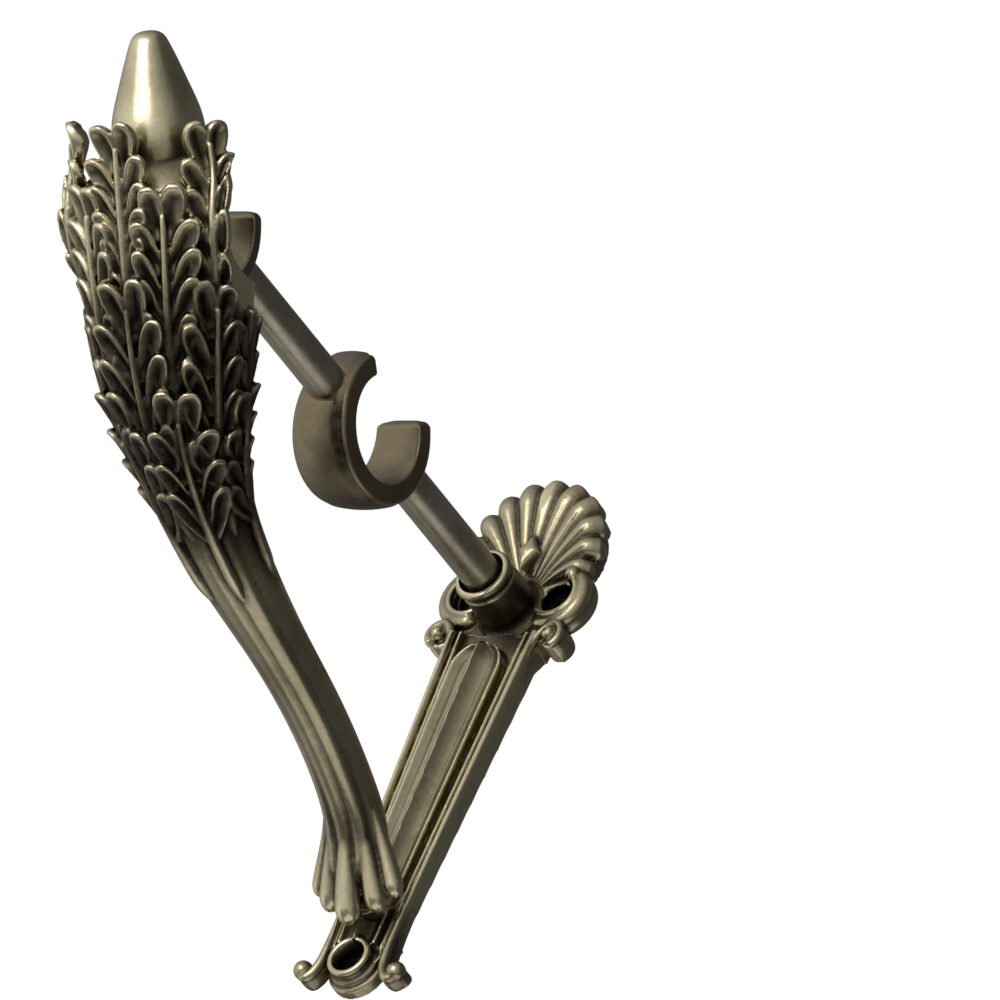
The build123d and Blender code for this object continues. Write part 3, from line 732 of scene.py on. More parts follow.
def brace_body(casting, line, groove):
    """Stem and core of the head, with grooves down the front of the stem."""
    azimuth = np.linspace(0, 2 * math.pi, BODY_SIDES, endpoint=False)
    folded = np.abs((azimuth + math.pi) % (2 * math.pi) - math.pi)
    carved = groove * (ridges(folded, STEM_SWELLS) - ridges(folded, STEM_DIPS))
    early = CORE_BACK_EARLY * ease(folded, *np.radians(CORE_BACK))
    rings = []
    for s in np.linspace(0, line.turn + CORE_TOP, CORE_ROWS):
        fade = 1 - ease(s - line.neck, *STEM_FADES)
        deep = STEM_DEPTH[0] + STEM_DEPTH[1] * (1 - ease(s, *STEM_DEEP))
        plain = line.radius(s, azimuth)
        close = ease(s - line.turn + early, *CORE_CLOSES) * (plain - CORE_TOP_R)
        dome = plain * (1 - math.sqrt(max(DOME_LEAST, 1 - max(0.0, 1 - s / STEM_DOME) ** 2)))
        rings.append(line.place(s, azimuth, fade * deep * carved - close - dome))
    casting.skin(rings)


def brace_bud(casting, line):
    """Plain pointed bud."""
    centre = np.array([np.interp(line.turn, line.s, line.spots[:, k]) for k in range(3)])
    axis = line.spots[-1] - line.spots[BUD_AXIS]
    casting.turned(smooth_through(BUD_SHAPE, BUD_ROWS), centre, axis, FINE_SIDES)


def leaflet(casting, line, start, azimuth, turn, length, half, lift, curl, rise):
    """Plump leaflet with a fold down its face, round edges and a tip that turns out."""
    u = 1 - (1 - np.linspace(0, 1, LEAF_ALONG)) ** LEAFLET_CROWD
    angle = math.radians(turn) * (LEAFLET_BOW[0] - LEAFLET_BOW[1] * u)
    steps = np.diff(u, prepend=0.0) * length
    ahead = np.cumsum(steps * np.cos(angle))[:, None]
    aside = np.cumsum(steps * np.sin(angle))[:, None]
    wide = half * (LEAFLET_NECK + (1 - LEAFLET_NECK) * ease(u, 0.0, LEAFLET_NECK_END))
    across = np.sin(np.linspace(-math.pi / 2, math.pi / 2, LEAF_ACROSS))[None, :]
    reach = (wide * rounded(u, *LEAFLET_ROUND))[:, None] * across
    opens, closes = LEAFLET_FOLD_ENDS
    fold = LEAFLET_FOLD * ease(u, *opens) * (1 - ease(u, *closes))
    edge = np.abs(across)
    face = 1 - fold[:, None] * np.clip(1 - edge / LEAFLET_CREST, 0, 1)
    fall = rounded(edge, LEAFLET_CREST, 0.0) * rounded(u, LEAFLET_TIP, 0.0)[:, None]
    base = (LEAFLET_BED + lift * u + curl * u ** 3)[:, None]
    top = base - rise * (1 - face * fall)
    free = ease(u, LEAFLET_FREE, 1.0)[:, None]
    low = np.minimum(free * (base - LEAFLET_THICK) - (1 - free) * LEAFLET_ROOT, top - LEAFLET_LEAST)
    s = start + ahead - reach * np.sin(angle)[:, None]
    bend = float(np.mean(line.radius(s, azimuth)))
    around = azimuth + (aside + reach * np.cos(angle)[:, None]) / (bend + rise)
    casting.sheet(line.spread(s, around, top), line.spread(s, around, low))


def uneven(*place):
    """Three numbers from -1 to 1 that belong to a place, so that no two leaflets are quite alike."""
    step, shifts, turn = UNEVEN_MIX
    total = sum(value * (k + step) for k, value in enumerate(place))
    return np.sin((total + np.array(shifts)) * turn)


def leaf_stalk(casting, line, begin, length, azimuth, top):
    """Stalk of a leaf, sunk into its bed at the tail and thinner towards its top."""
    share = np.linspace(-LEAF_TAIL, top, STALK_POINTS)
    bed = line.spread(begin + share * length, azimuth, 0.0)
    out = unit(line.spread(begin + share * length, azimuth, STALK_PROBE) - bed)
    grown = ease(share, -LEAF_TAIL, STALK_FULL)
    thick = STALK_R * grown * (1 - STALK_THINS * ease(share, STALK_FULL, STALK_TOP)) + STALK_LEAST
    height = STALK_HEIGHT * ease(share, 0.0, STALK_TOP) - STALK_SUNK * (1 - grown)
    casting.tube(bed + out * height[:, None], thick, 1.0, out.mean(0))


def leaf(casting, line, start, length, azimuth, first_row, sizes):
    """Acanthus leaf: a stalk that runs up the stem, with pairs of leaflets, the last pair at its point."""
    begin = line.turn + start
    here = math.radians(azimuth)
    pole_start = line.turn - POLE_BEHIND
    top = min((pole_start - begin) / length, STALK_TOP) if abs(azimuth) > LEAF_BEHIND else STALK_TOP
    if top > 0:
        leaf_stalk(casting, line, begin, length, here, top)
    proud = LEAF_FLAT if abs(azimuth) > LEAF_BESIDE else 1.0
    curl = proud * sizes.leaf_curl / MM
    for row, turn, size, full in LEAFLET_ROWS:
        if row < first_row:
            continue
        s = begin + row * length
        plain = float(line.radius(s, here))
        for side in (-1, 1):
            mood = uneven(start, row, abs(azimuth), side * (1 if azimuth >= 0 else -1))
            lean = (turn + UNEVEN[0] * mood[0]) * (LEAF_HUG if side * azimuth > LEAF_BESIDE else 1)
            long = size * length * (1 + UNEVEN[1] * mood[1])
            ends = here + side * math.radians(lean) * long / plain
            behind = max(abs(here), abs(ends)) > LEAF_TURNS_BACK and s + long > pole_start
            if behind or line.in_pole(s + long * LEAFLET_PROBE, ends):
                continue
            lift = LEAFLET_LIFT[0] + proud * (LEAFLET_LIFT[1] * row + UNEVEN[2] * mood[2])
            turned_out = curl * (LEAF_CURL_LOW + (1 - LEAF_CURL_LOW) * row)
            root = here + side * LEAFLET_ASIDE / plain
            leaflet(casting, line, s, root, side * lean, long, LEAFLET_HALF * full,
                    lift, turned_out, sizes.leaflet_rise / MM)


def brace_leaves(casting, line, sizes):
    """Tiers of leaves, each set half a step round from the one below."""
    for start, length, shift, first_row in LEAF_TIERS:
        for i in range(-LEAF_EACH_WAY, LEAF_EACH_WAY + 1):
            azimuth = (i + shift / 2) * LEAF_STEP
            if abs(azimuth) < LEAF_BACK_LIMIT:
                leaf(casting, line, start, length, azimuth, first_row, sizes)


def brace_toes(casting):
    """Pad on the plate's seat, and five round lobes that run down the stem and spread over the plate."""
    casting.turned([(r, SEAT_REACH + up) for r, up in FOOT_PAD], (0, 0, SEAT_Z))
    t = np.sin(np.linspace(0, math.pi / 2, TOE_POINTS))
    even = np.linspace(0, 1, TOE_PATH)
    for points, tip_r in TOES:
        radii = TOE_ROOT_R + (tip_r - TOE_ROOT_R) * ease(t, 0.0, TOE_FULL)
        for side in ((-1, 1) if points[-1][0] else (1,)):
            path = smooth_through([(side * x, reach, z) for x, reach, z in points], TOE_PATH)
            spots = at(*(np.interp(t, even, path[:, k]) for k in range(3)))
            casting.tube(spots, radii * rounded(t, *TOE_ROUND))


def brace_cutters():
    """Room behind the head for the pole and its cup, and everything behind the flat of the foot."""
    pole = Casting()
    r = FRONT_BORE_R + POLE_ROOM
    seat_r = CUP_R + SEAT_ROOM
    half = CUP_WIDTH_LOW / 2 + SEAT_ROOM
    centre = np.array([0, -FRONT_REACH, 0])
    rows = [(r, -FAR), (r, -half), (seat_r, -half), (seat_r, half), (r, half), (r, FAR)]
    pole.turned(rows, centre, (1, 0, 0), BODY_SIDES)
    behind = Casting()
    lean = math.radians(HEAD_LEAN)
    along = np.array([0, -math.cos(lean), math.sin(lean)])
    back = np.array([0, math.sin(lean), math.cos(lean)])
    mouth = [centre + np.array([half * a, 0, 0]) + along * seat_r * b for a, b in SQUARE]
    behind.skin([[p + back * d for p in mouth] for d in (0, FAR)])
    behind.block(FAR, SEAT_Z, FOOT_CUT, -SEAT_REACH, FAR - SEAT_REACH)
    return [pole, behind]


# Wall plate

def shaft_reach(x):
    """Height of the beaded tray over the wall at a distance from its middle."""
    x = np.abs(x)
    reach = np.where(x < RIB[0] - RIB[1], TRAY_FLOOR, SHOULDER)
    for middle, half, rise in (BEAD, RIB):
        reach = reach + rise * np.sqrt(np.clip(1 - ((x - middle) / half) ** 2, 0, 1))
    for middle, half, drop in GROOVES:
        reach = reach - drop * hump(x, middle, half)
    return reach


def tongue_reach(share):
    """Height of the tongue over the wall, from its middle ridge (0) to its rim (1)."""
    a = np.abs(share) / (1 - TONGUE_RIM / TONGUE_HALF)
    ridge = FLUTE_FLOOR + (TONGUE_CREST - FLUTE_FLOOR) * np.clip(1 - a / FLUTE_AT, 0, 1) ** TONGUE_SHARP
    side = (TONGUE_RIM_REACH - FLUTE_FLOOR) * np.clip((a - FLUTE_AT) / (1 - FLUTE_AT), 0, 1) ** 2
    return ridge + side


def taper_at(z):
    """Share of its full width that the shaft has at a height."""
    return 1 - (1 - SHAFT_TAPER) * (SHAFT_TOP_Z - z) / (SHAFT_TOP_Z - SHAFT_BOTTOM_Z)


def plate_tray(casting):
    """Beaded tray that tapers downward and sinks at its end."""
    x = np.linspace(-SHAFT_HALF, SHAFT_HALF, SHAFT_ACROSS)
    back_x = x[::-1] * (1 - SHAFT_BACK_IN / SHAFT_HALF)
    even = np.linspace(SHAFT_TOP_Z, SHAFT_BOTTOM_Z, SHAFT_ROWS)
    rings = []
    for z in np.concatenate([even, SHAFT_BOTTOM_Z - np.linspace(*SHAFT_END, SHAFT_END_ROWS)]):
        ended = ease(SHAFT_BOTTOM_Z - z, 0.0, SHAFT_END[1])
        taper = taper_at(z) * (1 - SHAFT_END_NARROWS * ended)
        front = at(x * taper, shaft_reach(x) * taper * (1 - SHAFT_END_SINKS * ended), z)
        rings.append(np.concatenate([front, at(back_x * taper, 0.0, z)]))
    casting.skin(rings)


def plate_tongue(casting):
    """Round-topped fluted tongue in the tray."""
    share = np.linspace(-1, 1, TONGUE_ACROSS)
    arch_z = TONGUE_TOP_Z - TONGUE_HALF
    arch = arch_z + TONGUE_HALF * np.cos(np.linspace(ARCH_START, math.pi / 2, ARCH_ROWS))
    rings = []
    for z in np.concatenate([arch, np.linspace(arch_z - ARCH_GAP, SHAFT_BOTTOM_Z, SHAFT_ROWS)]):
        narrow = math.sqrt(max(0.0, 1 - (max(0.0, z - arch_z) / TONGUE_HALF) ** 2))
        blend = ease(narrow, 0.0, ARCH_BLEND)
        reach = TONGUE_RIM_REACH + (tongue_reach(share) - TONGUE_RIM_REACH) * blend
        x = share * TONGUE_HALF * narrow * taper_at(z)
        rings.append(np.concatenate([at(x, reach * taper_at(z), z), at(x[::-1], 0.0, z)]))
    casting.skin(rings)


def plate_boss(casting):
    """Socket boss with a rolled rim."""
    rows = [(BOSS_R + BOSS_FLARE[0][0], 0.0)]
    rows += [(BOSS_R + out, HEAD_FLOOR + up) for out, up in BOSS_FLARE]
    rows += [(BOSS_R - inward, BOSS_REACH - back) for inward, back in BOSS_NECK]
    wide, high = BOSS_RIM
    for t in np.linspace(*BOSS_RIM_TURNS, BOSS_RIM_ROWS) * math.pi:
        rows.append((BOSS_R - wide + BOSS_LIP + wide * math.cos(t), BOSS_REACH - high + high * math.sin(t)))
    casting.turned(rows, (0, 0, 0), sides=FINE_SIDES)


def plate_shell(casting):
    """Scallop shell of ribs that fan out above the boss, lean into the room and roll over at their tips."""
    middle = (SHELL_RIBS - 1) / 2
    slope = math.tan(math.radians(SHELL_LEAN))
    half_step = math.sin(math.radians(SHELL_SPREAD / middle / 2))
    t = np.linspace(0, 1, SHELL_POINTS)
    tip = np.sqrt(np.clip(1 - ease(t, *SHELL_TIP) ** 2, SHELL_TIP_LEAST, 1))
    roll = SHELL_ROLL * ease(t, SHELL_ROLL_FROM, 1.0)
    for i in range(SHELL_RIBS):
        turn = (i - middle) / middle
        length = SHELL_TOP + (SHELL_SIDE - SHELL_TOP) * turn * turn
        far = SHELL_INNER + (length - SHELL_SHORT) * t
        bow = math.radians(turn * SHELL_SPREAD) * (1 + SHELL_BOW * (t - 1) * t)
        radii = np.maximum(SHELL_RIB_LEAST, far * half_step * SHELL_RIB_FULL)
        reach = SHELL_RISE + slope * far + SHELL_BELLY * np.sin(math.pi * t) - roll
        path = at(far * np.sin(bow), reach, SHELL_FOCUS_Z + far * np.cos(bow))
        casting.tube(path, radii * tip, SHELL_RIB_FLAT)
    fan = np.linspace(-1, 1, SHELL_BACK_POINTS)
    far = (SHELL_TOP + (SHELL_SIDE - SHELL_TOP) * fan ** 2) * SHELL_BACK_SHARE
    way = fan * math.radians(SHELL_SPREAD)
    across = np.append(far * np.sin(way), 0.0)
    up = np.append(far * np.cos(way), 0.0)
    casting.skin([at(across, reach, SHELL_FOCUS_Z + up) for reach in (0.0, SHELL_BACK_REACH + slope * up)])
    x, z = LOZENGE.T
    casting.skin([at(x * k, reach, LOZENGE_Z + z * k) for k, reach in LOZENGE_LAYERS])


def band(casting, points, radii, reach):
    """Round band along a line on the plate, standing on a wall of its own down to the back."""
    path = smooth_through(points, BAND_POINTS)
    reach = np.broadcast_to(reach, BAND_POINTS)
    casting.tube(at(path[:, 0], reach, path[:, 1]), radii)
    low = float(np.mean(reach)) / 2
    wall = at(path[:, 0], reach / 2, path[:, 1])
    casting.tube(wall, radii * BAND_WALL, low / float(np.mean(radii)) / BAND_WALL)


def knob(casting, x, z, r, reach, post_r, post_reach):
    """Ball on a round post."""
    casting.ball((x, -reach, z), r)
    casting.turned([(post_r, 0), (post_r, post_reach)], (x, 0, z))


def plate_volute(casting, side):
    """Volute round an upper screw hole: a floor, a band round it, a thin ridge inside and an eye."""
    x = side * VOLUTE_X
    t = np.linspace(0, 1, BAND_POINTS)
    ends = np.sqrt(np.clip(ease(t, *VOLUTE_ENDS), VOLUTE_END_LEAST, 1))
    casting.turned([(VOLUTE_R, 0), (VOLUTE_R, HEAD_FLOOR - VOLUTE_SUNK)], (x, 0, VOLUTE_Z))
    turns = np.radians(np.linspace(*VOLUTE_TURNS))
    arc = np.stack([x + side * VOLUTE_R * np.cos(turns), VOLUTE_Z + VOLUTE_R * np.sin(turns)], axis=1)
    band(casting, arc, VOLUTE_BAND * ends, HEAD_FLOOR)
    inward, up, ridge_r = VOLUTE_RIDGE
    inner = VOLUTE_R - inward
    turns = np.radians(np.linspace(*VOLUTE_RIDGE_TURNS))
    ridge = at(x + side * inner * np.cos(turns), HEAD_FLOOR + up, VOLUTE_Z + inner * np.sin(turns))
    casting.tube(ridge, ridge_r)
    eye_x, eye_z, eye_r = VOLUTE_EYE
    reach = HEAD_FLOOR + VOLUTE_EYE_UP
    knob(casting, x + side * eye_x, VOLUTE_Z + eye_z, eye_r, reach, VOLUTE_EYE_POST, reach)


def plate_scrolls(casting):
    """Volutes round the upper screw holes, ears below them and hooked scrolls at the foot."""
    t = np.linspace(0, 1, BAND_POINTS)
    thin, thicker, grown = EAR_BAND
    for side in (-1, 1):
        plate_volute(casting, side)
        band(casting, [(side * a, b) for a, b in EAR], thin + thicker * ease(t, 0.0, grown), SHOULDER)
        x, z, r = EAR_BALL
        wider, lower = EAR_WEB
        knob(casting, side * x, z, r, SHOULDER + EAR_BALL_UP, r + wider, SHOULDER - lower)
        hook = [(side * a, b) for a, b in HOOK]
        band(casting, hook, np.linspace(*HOOK_BAND, BAND_POINTS), np.linspace(*HOOK_REACH, BAND_POINTS))
        x, z, r = HOOK_BALL
        narrower, post = HOOK_POST
        knob(casting, side * x, z, r, HOOK_REACH[1], r - narrower, post)


def plate_foot(casting):
    """Round foot: stepped ridges that fall away below a rimmed screw hole, and the seat of the brace."""
    for i in range(FOOT_STEPS):
        r = FOOT_END_R - i * FOOT_STEP_IN
        up = FOOT_STEP_UP[0] + i * FOOT_STEP_UP[1]
        rows = [(r, 0), (r, up - FOOT_STEP_EDGE), (r - FOOT_STEP_EDGE, up)]
        casting.turned(rows, (0, 0, FOOT_HOLE_Z))
    turns = np.linspace(0, 2 * math.pi, BAND_POINTS)
    out, reach, rim_r = FOOT_RIM
    r = SCREW_RECESS_R + out
    casting.tube(at(r * np.cos(turns), reach, FOOT_HOLE_Z + r * np.sin(turns)), rim_r)
    casting.turned([(SEAT_R, 0), (SEAT_R, SEAT_REACH)], (0, 0, SEAT_Z))
    above, low_half, web = FOOT_WEB
    half = SHAFT_HALF * SHAFT_TAPER
    x = np.array([-half, half, low_half, -low_half])
    z = np.array([SHAFT_BOTTOM_Z + above, SHAFT_BOTTOM_Z + above, FOOT_HOLE_Z, FOOT_HOLE_Z])
    casting.skin([at(x, reach, z) for reach in (0.0, web)])


def plate_darkening(points):
    """Darker at the foot and on the boss, and less than none, so lighter, along the shaft."""
    boss = np.hypot(points[:, 0], points[:, 2]) < BOSS_R + BOSS_DARKENING_OUT
    return np.interp(points[:, 2], *zip(*PLATE_DARKENING)) + BOSS_DARKENING * boss


def stepped(inner_r, start, step, outer_r):
    """Rows of a bore that widens at a step and runs on out of the piece."""
    return [(inner_r, start), (inner_r, step), (outer_r, step), (outer_r, FAR)]


def plate_cutters():
    """Bores and recesses of the plate, and everything behind the wall."""
    holes = Casting()
    socket = stepped(ROD_R + SEAT_ROOM, BOSS_FLOOR, BOSS_REACH - BOSS_MOUTH_DEPTH, BOSS_MOUTH_R)
    holes.turned(socket, (0, 0, 0), sides=FINE_SIDES)
    for x, z in WALL_SCREWS:
        holes.turned(stepped(WALL_SCREW_R, -WALL_PAST, SCREW_RECESS_FLOOR, SCREW_RECESS_R), (x, 0, z))
    screw = [(FOOT_SCREW_HEAD_R, -WALL_PAST), (FOOT_SCREW_HEAD_R, 0.0)]
    screw += [(FOOT_SCREW_R, FOOT_SCREW_HEAD_R - FOOT_SCREW_R), (FOOT_SCREW_R, FAR)]
    holes.turned(screw, (0, 0, SEAT_Z))
    grub = Casting()
    grub.turned([(GRUB_R, 0.0), (GRUB_R, FAR)], (0, -GRUB_REACH, 0), (0, 0, 1))
    grub.block(*POCKET, -POCKET_DEPTH, WALL_PAST)
    wall = Casting()
    wall.block(FAR, *WALL_CUT, 0.0, FAR)
    return [holes, grub, wall]


# Cups

def cup_casting(bore_r, reach):
    """Ring cup open at the top: crowned outside, rounded edges, narrower towards its lips."""
    casting = Casting()
    start = math.radians(CUP_LIP_ANGLE)
    sweep = 2 * math.pi - math.radians(180 - 2 * CUP_LIP_ANGLE)
    lip = CUP_LIP_ROUND / CUP_R
    ends = np.sin(np.linspace(0, math.pi / 2, CUP_LIP_ROWS))
    between = np.linspace(lip, sweep - lip, CUP_ROWS)[1:-1]
    corner = np.linspace(0, math.pi / 2, CUP_EDGE_POINTS)
    quarter = np.stack([np.sin(corner), np.cos(corner)], axis=1)
    middle_r = bore_r + (CUP_R - bore_r) / 2
    outer_r = CUP_R - CUP_CROWN - CUP_EDGE
    inner_r = bore_r + CUP_INNER_EDGE
    rings = []
    for angle in np.concatenate([lip * ends, between, sweep - lip * ends[::-1]]):
        here = start - angle
        share = (CUP_R * math.sin(here) + CUP_R) / (2 * CUP_R)
        half = (CUP_WIDTH_LOW + (CUP_WIDTH_HIGH - CUP_WIDTH_LOW) * share) / 2
        outer_x = half - CUP_EDGE
        right = [(x, CUP_R - CUP_CROWN * (x / half) ** 2) for x in outer_x * np.array(CUP_CROWN_AT)]
        inner_x = half - CUP_INNER_EDGE
        outer = CUP_EDGE * quarter + (outer_x, outer_r)
        inner = CUP_INNER_EDGE * quarter[:, ::-1] * (1, -1) + (inner_x, inner_r)
        right += [*outer, *inner]
        left = [(-x, r) for x, r in reversed(right[1:])]
        pull = math.sqrt(max(0.0, 1 - max(0.0, 1 - min(angle, sweep - angle) / lip) ** 2))
        width, wall = (least + (1 - least) * pull for least in CUP_LIP_LEAST)
        section = [(x * width, middle_r + (r - middle_r) * wall) for x, r in right + left]
        rings.append([(x, -reach - r * math.cos(here), r * math.sin(here)) for x, r in section])
    casting.skin(rings)
    return casting


def cup_cutters(reach, sides):
    """Flat land and tapped hole for each rod that meets the cup."""
    cutters = []
    land_r = ROD_R + LAND_ROOM
    for side in sides:
        seat = reach + side * (CUP_R - LAND_DEPTH)
        tool = Casting()
        rows = [(SPIGOT_R, seat - side * SPIGOT_DEPTH), (SPIGOT_R, seat)]
        rows += [(land_r, seat), (land_r, seat + side * LAND_REACH)]
        tool.turned(rows, (0, 0, 0))
        cutters.append(tool)
    return cutters


# Finishes

def new_group(name, inputs, outputs):
    """Shader node group with its numbers in and out, and its ends."""
    group = bpy.data.node_groups.new(name, "ShaderNodeTree")
    for title, value in inputs.items():
        number = group.interface.new_socket(name=title, in_out="INPUT", socket_type="NodeSocketFloat")
        number.default_value = value
    for title in outputs:
        group.interface.new_socket(name=title, in_out="OUTPUT", socket_type="NodeSocketFloat")
    return group, group.nodes.new("NodeGroupInput"), group.nodes.new("NodeGroupOutput")


def wire(tree, made, inputs):
    """Link a socket to each input of a node, or set the input to a value."""
    for key, value in inputs.items():
        if isinstance(value, bpy.types.NodeSocket):
            tree.links.new(value, made.inputs[key])
        else:
            made.inputs[key].default_value = value


def node(tree, kind, inputs=None, **settings):
    """New node with its settings and its inputs."""
    made = tree.nodes.new(kind)
    for key, value in settings.items():
        setattr(made, key, value)
    wire(tree, made, inputs or {})
    return made


def maths(tree, operation, first, second):
    """Result of two numbers."""
    return node(tree, "ShaderNodeMath", {0: first, 1: second}, operation=operation).outputs[0]


def mapped(tree, value, before, after):
    """Number brought from one range to another."""
    ends = dict(zip(("From Min", "From Max", "To Min", "To Max"), (*before, *after)))
    return node(tree, "ShaderNodeMapRange", {"Value": value, **ends}).outputs["Result"]


def ramp(tree, value, stops):
    """Grey of a number on a colour ramp through places and greys."""
    made = node(tree, "ShaderNodeValToRGB", {"Fac": value})
    elements = made.color_ramp.elements
    for index, (place, grey) in enumerate(stops):
        element = elements[index] if index < 2 else elements.new(place)
        element.position = place
        element.color = (grey, grey, grey, 1.0)
    return made.outputs["Color"]


def mix_colour(tree, share, first, second, blend="MIX"):
    """Mix of two colours by a share."""
    inputs = {"Factor": share, **dict(zip(MIX_COLOURS, (first, second)))}
    return node(tree, "ShaderNodeMix", inputs, data_type="RGBA", blend_type=blend).outputs[MIX_RESULT]


def cloud_group():
    """Uneven tone of an aged metal: broad clouds with finer mottling."""
    numbers = {"Scale": 60.0, "Low": 0.75, "High": 1.1}
    group, start, end = new_group("tone_clouds", numbers, ("Tone", "Mottle"))
    place = node(group, "ShaderNodeTexCoord").outputs["Object"]
    scale = start.outputs["Scale"]
    broad = {"Vector": place, "Scale": scale, "Detail": 4.0, "Roughness": 0.6}
    finer = maths(group, "MULTIPLY", scale, MOTTLE_FINER)
    fine = {"Vector": place, "Scale": finer, "Detail": 3.0, "Roughness": 0.55}
    clouds, mottle = (node(group, "ShaderNodeTexNoise", noise).outputs["Fac"] for noise in (broad, fine))
    tone = mapped(group, clouds, CLOUD_SPAN, (start.outputs["Low"], start.outputs["High"]))
    wire(group, end, {"Tone": tone, "Mottle": mottle})


def relief_group():
    """Where a casting is rubbed bright, and where it is dark in its hollows from its patina and painted
    shade, from its own relief.
    """
    group, start, end = new_group("rubbed_relief", {"Mottle": 0.5, "Ragged": 0.12}, ("Rubbed", "Patina"))
    names = [name for name, *_ in RELIEF_LAYERS]
    near, wide = (node(group, "ShaderNodeAttribute", attribute_name=name).outputs["Fac"] for name in names)
    uneven_mottle = maths(group, "SUBTRACT", start.outputs["Mottle"], 0.5)
    ragged = maths(group, "MULTIPLY", uneven_mottle, start.outputs["Ragged"])
    for title, share, stops in RELIEF_MASKS:
        height = node(group, "ShaderNodeMix", {"Factor": share, "A": near, "B": wide}).outputs["Result"]
        wire(group, end, {title: ramp(group, maths(group, "ADD", height, ragged), stops)})


def place_group(tree, name, inputs):
    """A node group placed in a material with its own inputs."""
    return node(tree, "ShaderNodeGroup", inputs, node_tree=bpy.data.node_groups[name]).outputs


def new_material(name):
    """New node material's tree and shader."""
    material = bpy.data.materials.new(name)
    material.use_nodes = True
    return material.node_tree, material.node_tree.nodes["Principled BSDF"]


def metal(tree, shader, colour, rough, mottle, strength, depth):
    """Set the shader to a metal with a slightly uneven skin."""
    bump = node(tree, "ShaderNodeBump", {"Height": mottle, "Strength": strength, "Distance": depth})
    look = {"Base Color": colour, "Roughness": rough, "Metallic": 1.0, "Normal": bump.outputs["Normal"]}
    wire(tree, shader, look)


def cast_bronze(colours):
    """Antique cast bronze: black-brown in the hollows, its patina with painted shade, olive brass on the
    fields, pale gold on the edges.
    """
    tree, shader = new_material("aged_cast_bronze")
    clouds = place_group(tree, "tone_clouds", CAST_CLOUDS)
    relief = place_group(tree, "rubbed_relief", {"Mottle": clouds["Mottle"], "Ragged": CAST_RAGGED})
    toned = mix_colour(tree, 1.0, (*colours.field, 1.0), clouds["Tone"], "MULTIPLY")
    lit = mix_colour(tree, relief["Rubbed"], toned, (*colours.rubbed, 1.0))
    # patina and painted shade in the hollows
    aged = mix_colour(tree, relief["Patina"], lit, (*colours.hollow_patina_and_shade, 1.0))
    rough = mapped(tree, relief["Patina"], (0.0, 1.0), CAST_ROUGH)
    metal(tree, shader, aged, rough, clouds["Mottle"], *CAST_BUMP)


def smooth_metal(slot, colour, roughness):
    """Smooth drawn or turned metal under a thin lacquer, slightly clouded."""
    tree, shader = new_material(f"aged_{slot}")
    clouds = place_group(tree, "tone_clouds", SMOOTH_CLOUDS)
    toned = mix_colour(tree, 1.0, (*colour, 1.0), clouds["Tone"], "MULTIPLY")
    mottle = clouds["Mottle"]
    rough = mapped(tree, mottle, SMOOTH_MOTTLE, roughness)
    metal(tree, shader, toned, rough, mottle, *SMOOTH_BUMP)


def dress(piece, slot, *replaced):
    """Give a piece the aged material of its slot, and a new piece its body, with the parts that it replaces
    hidden.
    """
    piece.data.materials.clear()
    piece.data.materials.append(bpy.data.materials[f"aged_{slot}"])
    if replaced:
        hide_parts(*replaced)
        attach(piece, "root")


# What a user may change

class BracketSizes(bpy.types.PropertyGroup):
    """Sizes of the cast detail."""

    leaflet_rise: FloatProperty(
        name="Leaflet rise", description="Height of a leaflet's crest", default=1.7 * MM, unit="LENGTH")
    leaf_curl: FloatProperty(
        name="Leaf curl", description="How far a leaf's point turns out", default=1.9 * MM, unit="LENGTH")
    stem_groove: FloatProperty(
        name="Stem groove", description="Depth of the grooves down the stem", default=0.6 * MM, unit="LENGTH")
    brace_grain: FloatProperty(
        name="Brace grain", description="Finest form kept on the brace", default=0.34 * MM, unit="LENGTH")
    plate_grain: FloatProperty(
        name="Plate grain", description="Finest form kept on the plate", default=0.27 * MM, unit="LENGTH")
    triangles: IntProperty(
        name="Triangles", description="Most triangles of a casting", default=170000)


class BracketColours(bpy.types.PropertyGroup):
    """Colours of the finishes."""

    # dark patina of the hollows, also used as their painted shade
    hollow_patina_and_shade: FloatVectorProperty(
        name="Patina", description="Dark of the hollows", default=(0.012, 0.0105, 0.0085), subtype="COLOR")
    field: FloatVectorProperty(
        name="Field", description="Olive brass of the fields", default=(0.30, 0.258, 0.165), subtype="COLOR")
    rubbed: FloatVectorProperty(
        name="Rubbed", description="Pale gold of the edges", default=(0.60, 0.54, 0.36), subtype="COLOR")
    cup: FloatVectorProperty(
        name="Cup", description="Bronze of the ring cups", default=(0.2, 0.165, 0.105), subtype="COLOR")
    rod: FloatVectorProperty(
        name="Rod", description="Dark bronze of the arm", default=(0.42, 0.385, 0.30), subtype="COLOR")
    screw: FloatVectorProperty(
        name="Screw", description="Plated steel of the screws", default=(0.45, 0.44, 0.42), subtype="COLOR")
    floor: FloatVectorProperty(
        name="Floor", description="Pale floor", default=(0.86, 0.86, 0.86), subtype="COLOR")


class BracketStage(bpy.types.PropertyGroup):
    """Camera and light."""

    distance: FloatProperty(
        name="Distance", description="From the camera to the bracket", default=9.0, unit="LENGTH")
    floor_z: FloatProperty(
        name="Floor", description="Height of the floor", default=-7.0, unit="LENGTH")
    key_power: FloatProperty(
        name="Key", description="Power of the main soft light", default=9.0, unit="POWER")
    fill_power: FloatProperty(
        name="Fill", description="Power of the side light", default=0.05, unit="POWER")
    low_power: FloatProperty(
        name="Low", description="Power of the light from below", default=4.0, unit="POWER")
    room_light: FloatProperty(
        name="Room light", description="Strength of the light from all round", default=0.8)


# Operators

